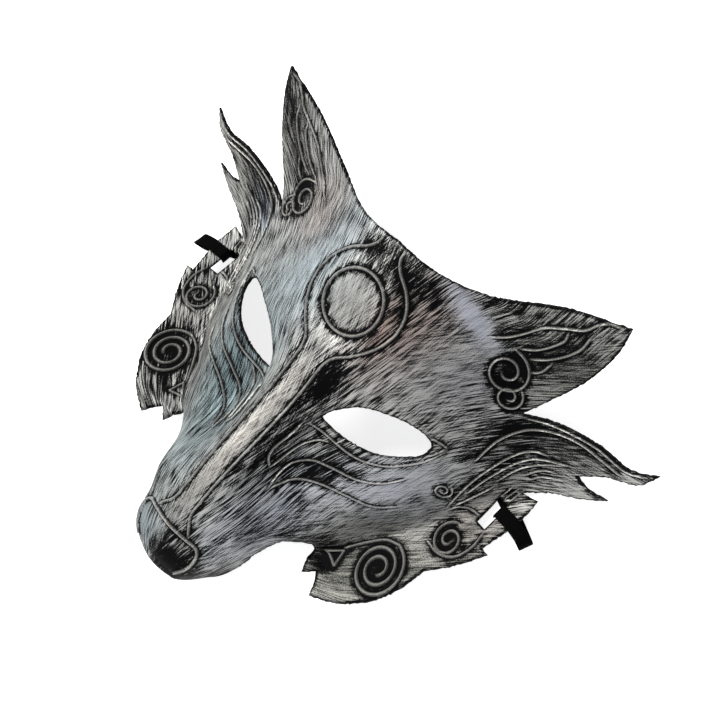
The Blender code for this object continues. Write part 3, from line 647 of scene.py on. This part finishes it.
def raised_lines():
    """Every raised line of one half by name, as a run of places in the flat drawing."""
    angle = np.linspace(0.0, math.pi, 90)
    lines = {"ring": RING_RADIUS * np.column_stack([np.sin(angle), np.cos(angle)])}
    for name, points in LINES.items():
        lines[name] = smooth_run(on_face(points), FINE_STEP)
    for name, spiral in SPIRALS.items():
        lines[name] = smooth_run(spiral_points(*spiral), FINE_STEP)
    corners = on_face(TRIANGLE)
    for i in range(3):
        lines[f"triangle_{i}"] = smooth_run(corners[[i, (i + 1) % 3]], FINE_STEP)
    return lines


def nearest_on(points, line, reach):
    """Distance from a line, and how far along it and before its end, for points within reach."""
    gap = np.full(len(points), 1.0)
    place = np.zeros(len(points))
    low, high = line.min(axis=0) - reach, line.max(axis=0) + reach
    near = np.flatnonzero(((points > low) & (points < high)).all(axis=1))
    spots = points[near]
    best, where, done = np.full(len(near), 1.0), np.zeros(len(near)), 0.0
    for start, end in zip(line[:-1], line[1:]):
        along = end - start
        length = math.hypot(*along)
        if length < 1e-9:
            continue
        share = np.clip((spots - start) @ along / length ** 2, 0.0, 1.0)
        offset = spots - start - share[:, None] * along
        distance = np.hypot(offset[:, 0], offset[:, 1])
        closer = distance < best
        best[closer] = distance[closer]
        where[closer] = done + share[closer] * length
        done += length
    gap[near], place[near] = best, where
    return gap, place, done


def inside_loop(points, loop):
    """Which points lie inside the closed loop."""
    inside = np.zeros(len(points), dtype=bool)
    for (x0, y0), (x1, y1) in zip(loop, np.roll(loop, -1, axis=0)):
        crosses = (y0 > points[:, 1]) != (y1 > points[:, 1])
        rise = y1 - y0 if y1 != y0 else 1.0
        inside ^= crosses & (points[:, 0] < x0 + (points[:, 1] - y0) * (x1 - x0) / rise)
    return inside


def sheet_grid(step, tables):
    """Evenly spread places on the unrolled surface."""
    rows = np.arange(tables["along"][0], tables["along"][-1], step * math.sqrt(3.0) / 2.0)
    spread = np.arange(0.0, SHEET_SPREAD, step)
    return np.vstack([
        np.column_stack([spread + step / 2.0 * (index % 2), np.full(len(spread), row)])
        for index, row in enumerate(rows)
    ])


def edge_gap(points, loops):
    """Distance from the nearest edge, leaving out the mirror plane."""
    gap = np.full(len(points), 1.0)
    for index, loop in enumerate(loops):
        closed = loop if index == 0 else np.vstack([loop, loop[:1]])
        gap = np.minimum(gap, nearest_on(points, closed, EDGE_REACH)[0])
    return gap


def kept_points(points, loops, margin):
    """The points inside the sheet that keep a margin from its edges, one in each small cell."""
    low, high = loops[0][-1, 1], loops[0][0, 1]
    on_plane = (points[:, 0] < ON_PLANE) & (points[:, 1] > low) & (points[:, 1] < high)
    keep = inside_loop(points, loops[0]) | on_plane
    for hole in loops[1:]:
        keep &= ~inside_loop(points, hole)
    points = points[keep]
    points = points[edge_gap(points, loops) > margin]
    cells = np.floor(points / CELL).astype(np.int64)
    _, first = np.unique(cells[:, 0] * 100000 + cells[:, 1], return_index=True)
    return points[np.sort(first)]


def sheet_triangles(loops, fill):
    """Triangles over the unrolled surface, with the loops' points first."""
    points, edges = [], []
    for loop in loops:
        first = len(points)
        points += [Vector(point) for point in loop]
        edges += [(first + i, first + (i + 1) % len(loop)) for i in range(len(loop))]
    points += [Vector(point) for point in fill]
    result = delaunay_2d_cdt(points, edges, [], 0, 1e-7)
    places = np.array([tuple(point) for point in result[0]])
    places[places[:, 0] < ON_PLANE, 0] = 0.0
    faces = np.array(result[2])
    middles = places[faces].mean(axis=1)
    keep = inside_loop(middles, loops[0]) & (middles[:, 0] > ON_PLANE)
    for hole in loops[1:]:
        keep &= ~inside_loop(middles, hole)
    new_index = {old: new for new, olds in enumerate(result[3]) for old in olds}
    rim = [new_index[old] for old in range(sum(len(loop) for loop in loops))]
    return places, faces[keep], rim


def relief(points, lines):
    """Height of the raised lines, how much of a crest each point is, and the black beside them."""
    lift, crest, wash = (np.zeros(len(points)) for _ in range(3))
    for name, line in lines.items():
        width, height, black, reach = LINE_KINDS.get(name, LINE_KINDS["usual"])
        gap, place, length = nearest_on(points, line, LINE_REACH)
        ends = smooth_step(0.0, LINE_TAPER, np.minimum(place, length - place))
        if name in ("ring", "nose_border") or name.startswith("triangle"):
            ends = np.ones(len(points))
        profile = np.cos(np.clip(gap / (width / 2.0), 0.0, 1.0) * math.pi / 2.0) ** 1.5
        lift = np.maximum(lift, height * profile * (0.25 + 0.75 * ends))
        crest = np.maximum(crest, profile ** 1.5 * (0.3 + 0.7 * ends))
        beyond = np.clip(gap - width / 2.0, 0.0, None)
        beside = np.exp(-(beyond / reach) ** 2) * (1.0 - profile) * black * (0.3 + 0.7 * ends)
        wash = np.maximum(wash, beside)
    return lift, crest, wash


def flow_angle(x, y):
    """Which way the brush went, in degrees from +Y towards +X; x and y in mm."""
    side = np.sign(x)
    reach = np.abs(x)
    angle = np.degrees(np.arctan2(reach, y + FAN_LENGTH))
    brow = np.exp(-((y - 5.0) / 28.0) ** 2) * smooth_step(6.0, 40.0, reach)
    angle += brow * BROW_TURN
    lock = smooth_step(78.0, 105.0, reach) * smooth_step(-30.0, 0.0, y)
    angle += lock * LOCK_TURN
    panel = smooth_step(50.0, 70.0, reach) * smooth_step(-45.0, -75.0, y)
    angle -= panel * PANEL_TURN
    return np.clip(angle, STROKE_ANGLES[0], STROKE_ANGLES[-1]) * side


def patches(table, x, y):
    """Each patch's weight at the places, in mm."""
    for patch in table:
        middle_x, middle_y, long, wide, turn = patch[:5]
        turn = math.radians(turn)
        u = (x - middle_x) * math.sin(turn) + (y - middle_y) * math.cos(turn)
        v = (x - middle_x) * math.cos(turn) - (y - middle_y) * math.sin(turn)
        yield patch[5], np.exp(-((u / long) ** 2 + (v / wide) ** 2))


def paint(x, y):
    """How thick and how streaky the silver is, and its tint, at places in mm on the whole mask."""
    silver = np.full(len(x), PLAIN_SILVER)
    for amount, weight in patches(SILVER_AND_PAINTED_LIGHT_PATCHES, x, y):
        silver += amount * weight
    streak = np.ones(len(x))
    for amount, weight in patches(STREAK_PATCHES, x, y):
        streak += amount * weight
    streak = np.clip(streak, LEAST_STREAK, 1.0)
    tint = np.tile(np.array(PLAIN_TINT), (len(x), 1))
    for colour, weight in patches(TINT_AND_PAINTED_LIGHT_PATCHES, x, y):
        tint += (np.array(colour) - tint) * (weight * TINT_SHARE)[:, None]
    return silver, streak, tint


def skin(loops, lines, tables, back):
    """One skin of the half shell: its places, faces, rim, spots in space and what the paint needs."""
    sets = []
    if not back:
        for name, line in lines.items():
            width = LINE_KINDS.get(name, LINE_KINDS["usual"])[0]
            way = np.gradient(line, axis=0)
            way /= np.linalg.norm(way, axis=1)[:, None]
            normal = np.column_stack([way[:, 1], -way[:, 0]])
            for share in LINE_SHARES:
                moved = line + normal * width * share
                moved[line[:, 0] < ON_PLANE, 0] = 0.0
                sets.append(moved[moved[:, 0] > -ON_PLANE])
        fine = np.vstack(sets)
        grid = sheet_grid(COARSE_STEP, tables)
        grid = grid[far_from(grid, fine, LINE_MARGIN)]
        sets.append(grid)
    else:
        sets.append(sheet_grid(BACK_STEP, tables))
    fill = kept_points(np.vstack(sets), loops, EDGE_MARGIN)
    places, faces, rim = sheet_triangles(loops, fill)
    flat = roll_back(places, tables)
    lift, crest, wash = relief(places, lines)
    gap = edge_gap(places, loops)
    normals = mask_normals(flat[:, 0], flat[:, 1])
    rounding = EDGE_ROUND * np.clip(1.0 - gap / ROUND_WIDTH, 0.0, 1.0) ** 2
    if back:
        offset = -WALL + BACK_RELIEF * lift + rounding
    else:
        offset = lift * np.clip(gap / RELIEF_FADE, 0.0, 1.0) - rounding
    height = mask_height(flat[:, 0], flat[:, 1])
    spots = np.column_stack([flat, height]) + normals * offset[:, None]
    spots[flat[:, 0] < ON_PLANE, 0] = 0.0
    return {"places": places, "flat": flat, "faces": faces, "rim": rim, "spots": spots,
            "crest": crest, "wash": wash, "gap": gap}


def far_from(points, others, reach):
    """Which points have none of the others in their own or a neighbouring cell."""
    taken = set()
    for i, j in np.unique(np.floor(others / reach).astype(int), axis=0):
        taken.update((i + a, j + b) for a in (-1, 0, 1) for b in (-1, 0, 1))
    cells = np.floor(points / reach).astype(int)
    return np.array([(i, j) not in taken for i, j in cells.tolist()])


def half_shell():
    """Half of the shell: spots, faces and what the paint needs at each spot."""
    tables = unrolled_tables()
    loops = [unroll(loop, tables) for loop in (outline_points(), eye_points(), slot_points())]
    loops[0][[0, -1], 0] = 0.0
    lines = {name: unroll(line, tables) for name, line in raised_lines().items()}
    for name in ("ring", "nose_border"):
        lines[name][lines[name][:, 0] < BESIDE_PLANE, 0] = 0.0
    front, under = (skin(loops, lines, tables, back) for back in (False, True))
    shift = len(front["spots"])
    faces = [front["faces"], under["faces"][:, ::-1] + shift]
    first = 0
    for index, loop in enumerate(loops):
        count = len(loop)
        last = count - 1 if index == 0 else count
        for i in range(last):
            here, ahead = first + i, first + (i + 1) % count
            a, b = front["rim"][here], front["rim"][ahead]
            c, d = under["rim"][ahead] + shift, under["rim"][here] + shift
            faces.append(np.array([[b, a, d], [b, d, c]]))
        first += count
    spots = np.vstack([front["spots"], under["spots"]])
    facts = {key: np.concatenate([front[key], under[key]]) for key in ("crest", "wash", "gap")}
    facts["places"] = np.vstack([front["places"], under["places"]])
    facts["flat"] = np.vstack([front["flat"], under["flat"]])
    facts["front"] = np.concatenate([np.ones(shift), np.zeros(len(under["spots"]))])
    return spots, np.vstack(faces), facts


def whole_shell():
    """The shell mesh with its paint attributes, both halves joined on the mirror plane."""
    spots, faces, facts = half_shell()
    count = len(spots)
    middle = spots[:, 0] < ON_PLANE
    other = np.cumsum(~middle) - 1 + count
    other[middle] = np.flatnonzero(middle)
    mirrored = spots[~middle] * (-1.0, 1.0, 1.0)
    mesh = bpy.data.meshes.new("wolf_shell")
    faces = np.vstack([faces, other[faces][:, ::-1]])
    mesh.from_pydata(np.vstack([spots, mirrored]).tolist(), [], faces.tolist())
    side = np.concatenate([np.ones(count), -np.ones(len(mirrored))])
    both = {key: np.concatenate([value, value[~middle]]) for key, value in facts.items()}
    x, y = both["flat"][:, 0] * side * 1000.0, both["flat"][:, 1] * 1000.0
    silver, streak, tint = paint(x, y)
    spread = both["places"] * 1000.0
    sheet = np.column_stack([spread[:, 0] * side, spread[:, 1], SIDE_SHIFT * side])
    single = {
        "silver": silver, "streak": streak, "crest": both["crest"], "wash": both["wash"],
        "front": both["front"], "flow": flow_angle(x, y),
        "edge": np.clip(1.0 - both["gap"] / WORN_RIM, 0.0, 1.0),
    }
    for name, value in single.items():
        layer = mesh.attributes.new(name, "FLOAT", "POINT")
        layer.data.foreach_set("value", value.astype(np.float32))
    for name, value in {"sheet": sheet, "tint": tint}.items():
        layer = mesh.attributes.new(name, "FLOAT_VECTOR", "POINT")
        layer.data.foreach_set("vector", value.astype(np.float32).ravel())
    mesh.transform(SEAT)
    mesh.shade_smooth()
    mesh.set_sharp_from_angle(angle=math.radians(SHARP_ANGLE))
    return placed("wolf_shell", mesh)


class Graph:
    """Short forms for the node kinds that the materials use."""

    def __init__(self, name):
        self.material = bpy.data.materials.new(name)
        self.material.use_nodes = True
        self.tree = self.material.node_tree
        self.shader = self.tree.nodes["Principled BSDF"]

    def feed(self, socket, value):
        """Set a socket's value, or link it where the value is another node's output."""
        if isinstance(value, bpy.types.NodeSocket):
            self.tree.links.new(value, socket)
        else:
            socket.default_value = value

    def shade(self, name, value):
        self.feed(self.shader.inputs[name], value)

    def node(self, kind, inputs, **settings):
        """A new node with its settings and what its inputs are fed."""
        node = self.tree.nodes.new("ShaderNode" + kind)
        for name, setting in settings.items():
            setattr(node, name, setting)
        for key, value in inputs.items():
            self.feed(node.inputs[key], value)
        return node

    def attribute(self, name, output="Fac"):
        return self.node("Attribute", {}, attribute_name=name).outputs[output]

    def maths(self, kind, *values, clamp=False):
        return self.node("Math", dict(enumerate(values)), operation=kind, use_clamp=clamp).outputs[0]

    def noise(self, vector, scale, detail, roughness):
        inputs = {"Vector": vector, "Scale": scale, "Detail": detail, "Roughness": roughness}
        return self.node("TexNoise", inputs).outputs["Fac"]

    def stretch(self, vector, scale, turn):
        inputs = {"Vector": vector, "Angle": math.radians(turn)}
        turned = self.node("VectorRotate", inputs, rotation_type="Z_AXIS").outputs[0]
        return self.node("Mapping", {"Vector": turned, "Scale": scale}).outputs[0]

    def steps(self, value, low, high, to_low=0.0, to_high=1.0):
        inputs = dict(enumerate((value, low, high, to_low, to_high)))
        return self.node("MapRange", inputs, interpolation_type="SMOOTHSTEP").outputs[0]

    def mix(self, share, first, second, kind="MIX"):
        inputs = {0: share, 6: first, 7: second}
        return self.node("Mix", inputs, data_type="RGBA", blend_type=kind).outputs[2]

    def bump(self, height, strength, distance, normal=None):
        inputs = {"Height": height, "Strength": strength, "Distance": distance}
        if normal is not None:
            inputs["Normal"] = normal
        return self.node("Bump", inputs).outputs[0]


def silver_paint():
    """Silver brushed over black plastic, worn into streaks, with black left beside the ridges and a painted
    highlight on the crests.
    """
    graph = Graph("brushed_silver")
    sheet = graph.attribute("sheet", "Vector")
    flow = graph.attribute("flow")
    silver = graph.attribute("silver")
    crest = graph.attribute("crest")
    wash = graph.attribute("wash")
    edge = graph.attribute("edge")
    tint = graph.attribute("tint", "Vector")
    half = STROKE_ANGLES[1] - STROKE_ANGLES[0]
    fine, broad = 0.0, 0.0
    for angle in STROKE_ANGLES:
        off = graph.maths("ABSOLUTE", graph.maths("SUBTRACT", flow, angle))
        weight = graph.maths("SUBTRACT", 1.0, graph.maths("DIVIDE", off, half), clamp=True)
        thin = graph.noise(graph.stretch(sheet, FINE_STROKES, angle), 1.0, 1.5, 0.55)
        wide = graph.noise(graph.stretch(sheet, BROAD_STROKES, angle), 1.0, 2.0, 0.55)
        fine = graph.maths("ADD", fine, graph.maths("MULTIPLY", weight, thin))
        broad = graph.maths("ADD", broad, graph.maths("MULTIPLY", weight, wide))
    speck = graph.noise(sheet, SPECK_SCALE, 2.0, 0.6)
    blotch = graph.noise(sheet, BLOTCH_SCALE, 3.0, 0.6)
    patchy = graph.noise(sheet, PATCH_SCALE, 2.0, 0.6)
    uneven = 0.0
    for layer, amount in ((fine, FINE_AMOUNT), (broad, BROAD_AMOUNT), (blotch, BLOTCH_AMOUNT)):
        change = graph.maths("MULTIPLY", graph.maths("SUBTRACT", layer, 0.5), amount)
        uneven = graph.maths("ADD", uneven, change)
    streak = graph.attribute("streak")
    cover = graph.maths("ADD", silver, graph.maths("MULTIPLY", uneven, streak))
    worn = graph.maths("MULTIPLY", graph.maths("SUBTRACT", speck, 0.5), SPECK_AMOUNT)
    cover = graph.maths("ADD", cover, worn)
    broken = graph.steps(blotch, 0.40, 0.60, 0.45, 1.0)
    rim = graph.maths("MULTIPLY", graph.steps(edge, 0.30, 0.85), broken)
    cover = graph.maths("SUBTRACT", cover, graph.maths("MULTIPLY", rim, RIM_AMOUNT))
    worn_wash = graph.maths("MULTIPLY", wash, graph.steps(patchy, 0.38, 0.60, 0.75, 1.75))
    cover = graph.maths("SUBTRACT", cover, worn_wash)
    cover = graph.maths("ADD", cover, graph.maths("MULTIPLY", crest, CREST_AMOUNT))
    mask = graph.steps(cover, 0.10, 0.88)
    tone = graph.maths("MULTIPLY", graph.steps(fine, 0.36, 0.64, -0.40, 0.48), streak)
    tone = graph.maths("ADD", tone, 1.0)
    tone = graph.maths("ADD", tone, graph.steps(speck, 0.34, 0.66, -0.16, 0.16))
    bright = graph.mix(1.0, tint, tone, "MULTIPLY")
    colour = graph.mix(mask, BLACK_PAINT, bright)
    # Crests lightened towards it, broken by the specks: partly rubbed silver, partly a painted highlight
    crest_rub_and_highlight = graph.maths("MULTIPLY", crest, graph.steps(speck, 0.35, 0.65, 0.25, 0.95))
    colour = graph.mix(crest_rub_and_highlight, colour, CREST_SILVER_AND_HIGHLIGHT)
    front = graph.steps(graph.attribute("front"), 0.70, 0.98)
    colour = graph.mix(front, BLACK_BACK, colour)
    graph.shade("Base Color", colour)
    painted = graph.maths("MULTIPLY", mask, front)
    graph.shade("Metallic", graph.maths("MULTIPLY", painted, METAL_SHARE))
    graph.shade("Roughness", graph.steps(mask, 0.2, 0.8, 0.60, 0.44))
    graph.shade("Specular IOR Level", MATT_LEVEL)
    rough = graph.bump(speck, 0.35, 0.00012)
    graph.shade("Normal", graph.bump(fine, 0.55, 0.00020, rough))
    return graph.material


def strap_rows():
    """The strap's half route from the mirror plane to its end in the slot, with its width's way."""
    half = STRAP_THICKNESS / 2.0
    above = CLEARANCE + half
    slot_x, slot_y = on_face(SLOT_MIDDLE) + (0.0, (SLOT_LENGTH - STRAP_WIDTH) * 0.4)
    strip = slot_x + SLOT_WIDTH / 2.0
    outline = outline_points()
    beside = (np.abs(outline[:, 1] - slot_y) < STRAP_WIDTH) & (outline[:, 0] > strip)
    edge = outline[beside, 0].max()

    def over(x, y, height):
        place = (np.array([x]), np.array([y]))
        spot = np.array([x, y, mask_height(*place)[0]]) + mask_normals(*place)[0] * height
        return SEAT @ Vector(spot)

    panel_way = (over(slot_x, slot_y + half, 0.0) - over(slot_x, slot_y - half, 0.0)).normalized()
    crown = over(edge, slot_y, above + half)
    rise = (crown.z - half) / 2.0
    turn_x = edge + STRAP_REACH - rise
    slope = 2.0 * STRAP_BOW / turn_x
    turn_y = crown.y - slope * (turn_x - edge) / 2.0
    ahead = Vector((1.0, -slope, 0.0)).normalized()
    turn_way = Vector((slope, 1.0, 0.0)).normalized()
    rows = []
    for share in np.linspace(0.0, 1.0, 18)[:-1]:
        spot = Vector((turn_x * share, turn_y + STRAP_BOW * (1.0 - share * share), half))
        rows.append((spot, Vector((0.0, 1.0, 0.0))))
    for share in np.linspace(0.0, 1.0, 12):
        angle = math.pi * share
        spot = Vector((turn_x, turn_y, half)) + ahead * rise * math.sin(angle)
        spot.z += rise * (1.0 - math.cos(angle))
        rows.append((spot, turn_way.lerp(panel_way, smooth_step(0.3, 1.0, share))))
    for x, height in (
        (edge, above + half),
        (edge * 0.5 + strip * 0.5, above + half),
        (strip + half, above + half),
        (strip - above * 0.2, above * 0.8),
        (strip - above - half, -half),
        (strip - above - half * 1.6, -WALL - half),
    ):
        rows.append((over(x, slot_y, height), panel_way))
    return rows


def woven_strap():
    """The elastic strap as a ribbed ribbon swept along its whole route."""
    rows = strap_rows()
    route = np.array([[*spot, *(way * WAY_LENGTH)] for spot, way in rows])
    fine = smooth_run(route, STRAP_STEP)
    left = fine[1:][::-1] * (-1.0, 1.0, 1.0, 1.0, -1.0, -1.0)
    left[:, 3:] *= (1.0, -1.0, -1.0)
    fine = np.vstack([left, fine])
    tangents = np.gradient(fine[:, :3], axis=0)
    spots, faces, facts = [], [], []
    ribs = np.linspace(-1.0, 1.0, STRAP_COLUMNS)
    thick = STRAP_THICKNESS / 2.0
    done = 0.0
    for index, (row, tangent) in enumerate(zip(fine, tangents)):
        if index:
            done += np.linalg.norm(row[:3] - fine[index - 1][:3])
        ahead = tangent / np.linalg.norm(tangent)
        way = row[3:] / np.linalg.norm(row[3:])
        way = way - (way @ ahead) * ahead
        way /= np.linalg.norm(way)
        up = np.cross(ahead, way)
        for face in (1.0, -1.0):
            for rib in ribs * face:
                edge_round = math.sqrt(max(0.0, 1.0 - abs(rib) ** 14))
                ridge = abs(math.cos(rib * STRAP_RIBS * math.pi / 2.0))
                groove = 1.0 - STRAP_GROOVE * (1.0 - ridge)
                lift = thick * max(0.25, edge_round) * groove * face
                spots.append(row[:3] + way * rib * STRAP_WIDTH / 2.0 + up * lift)
                facts.append((rib * STRAP_WIDTH * 500.0, done * 1000.0, face))
    ring = 2 * STRAP_COLUMNS
    spots = np.array(spots).reshape(len(fine), ring, 3)
    # Rows that would dip into the floor are lifted onto it
    spots[:, :, 2] -= np.minimum(spots[:, :, 2].min(axis=1), 0.0)[:, None]
    for index in range(len(fine) - 1):
        for j in range(ring):
            a, b = index * ring + j, index * ring + (j + 1) % ring
            faces.append((a, b, b + ring, a + ring))
    faces.append(tuple(range(ring))[::-1])
    faces.append(tuple(range((len(fine) - 1) * ring, len(fine) * ring)))
    mesh = bpy.data.meshes.new("elastic_strap")
    mesh.from_pydata(spots.reshape(-1, 3).tolist(), [], faces)
    layer = mesh.attributes.new("cloth", "FLOAT_VECTOR", "POINT")
    layer.data.foreach_set("vector", np.array(facts, dtype=np.float32).ravel())
    mesh.shade_smooth()
    mesh.set_sharp_from_angle(angle=math.radians(SHARP_ANGLE))
    return placed("elastic_strap", mesh)


def woven_black():
    """Flat black elastic with its fine weave."""
    graph = Graph("woven_elastic")
    cloth = graph.attribute("cloth", "Vector")
    parts = graph.tree.nodes.new("ShaderNodeSeparateXYZ")
    graph.feed(parts.inputs[0], cloth)
    across = graph.maths("SINE", graph.maths("MULTIPLY", parts.outputs[0], 9.0))
    along = graph.maths("SINE", graph.maths("MULTIPLY", parts.outputs[1], 7.5))
    weave = graph.maths("MULTIPLY", across, along)
    fuzz = graph.noise(cloth, 3.0, 3.0, 0.6)
    colour = graph.mix(graph.steps(weave, -1.0, 1.0), *STRAP_BLACKS)
    graph.shade("Base Color", colour)
    graph.shade("Roughness", graph.steps(fuzz, 0.3, 0.7, 0.75, 0.92))
    graph.shade("Specular IOR Level", MATT_LEVEL)
    graph.shade("Normal", graph.bump(weave, 0.5, 0.00010))
    return graph.material


def add_camera():
    """The camera at the photo's viewpoint: its place and axes from the forehead ring, in metres."""
    place = Vector(CAMERA_PLACE)
    right, up, back = (Vector(axis) for axis in CAMERA_AXES)
    turn = Matrix((right, up, back)).transposed().to_4x4()
    data = bpy.data.cameras.new("camera")
    data.lens = LENS
    data.sensor_width = SENSOR_WIDTH
    data.clip_start, data.clip_end = 0.01, 20.0
    camera = placed("camera", data)
    camera.matrix_world = SEAT @ Matrix.Translation(place) @ turn
    bpy.context.scene.camera = camera


def add_light(name, place, size, power, colour):
    """A round soft light that aims at the mask."""
    data = bpy.data.lights.new(name, "AREA")
    data.shape = "DISK"
    data.size = size
    data.energy = power
    data.color = colour
    light = placed(name, data)
    light.location = place
    light.rotation_mode = "QUATERNION"
    light.rotation_quaternion = (Vector(LIT_SPOT) - place).to_track_quat("-Z", "Y")


def add_floor():
    """The pale floor that the mask rests on."""
    mesh = bpy.data.meshes.new("floor")
    sides = ((-1, -1), (1, -1), (1, 1), (-1, 1))
    corners = [(x * FLOOR_HALF_SIDE, y * FLOOR_HALF_SIDE, 0.0) for x, y in sides]
    mesh.from_pydata(corners, [], [(0, 1, 2, 3)])
    graph = Graph("pale_floor")
    graph.shade("Base Color", (FLOOR_TONE, FLOOR_TONE, FLOOR_TONE, 1.0))
    graph.shade("Roughness", 0.9)
    graph.shade("Emission Color", (1.0, 1.0, 1.0, 1.0))
    graph.shade("Emission Strength", FLOOR_TONE)
    mesh.materials.append(graph.material)
    placed("floor", mesh)


def add_surroundings():
    """The soft light from all around."""
    world = bpy.data.worlds.new("studio")
    world.use_nodes = True
    world.node_tree.nodes["Background"].inputs[0].default_value = WORLD_COLOUR
    world.node_tree.nodes["Background"].inputs[1].default_value = WORLD_STRENGTH
    bpy.context.scene.world = world
    bpy.context.scene.view_settings.view_transform = "Standard"


def main():
    add_camera()
    add_floor()
    add_surroundings()
    for name, place, size, power, colour in LIGHTS:
        add_light(name, SEAT @ Vector(place), size, power, colour)

    shell = whole_shell()
    shell.data.materials.append(silver_paint())
    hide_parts("mask_shell")
    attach(shell, "root")

    strap = woven_strap()
    strap.data.materials.append(woven_black())
    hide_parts("head_strap")
    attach(strap, "root")


main()
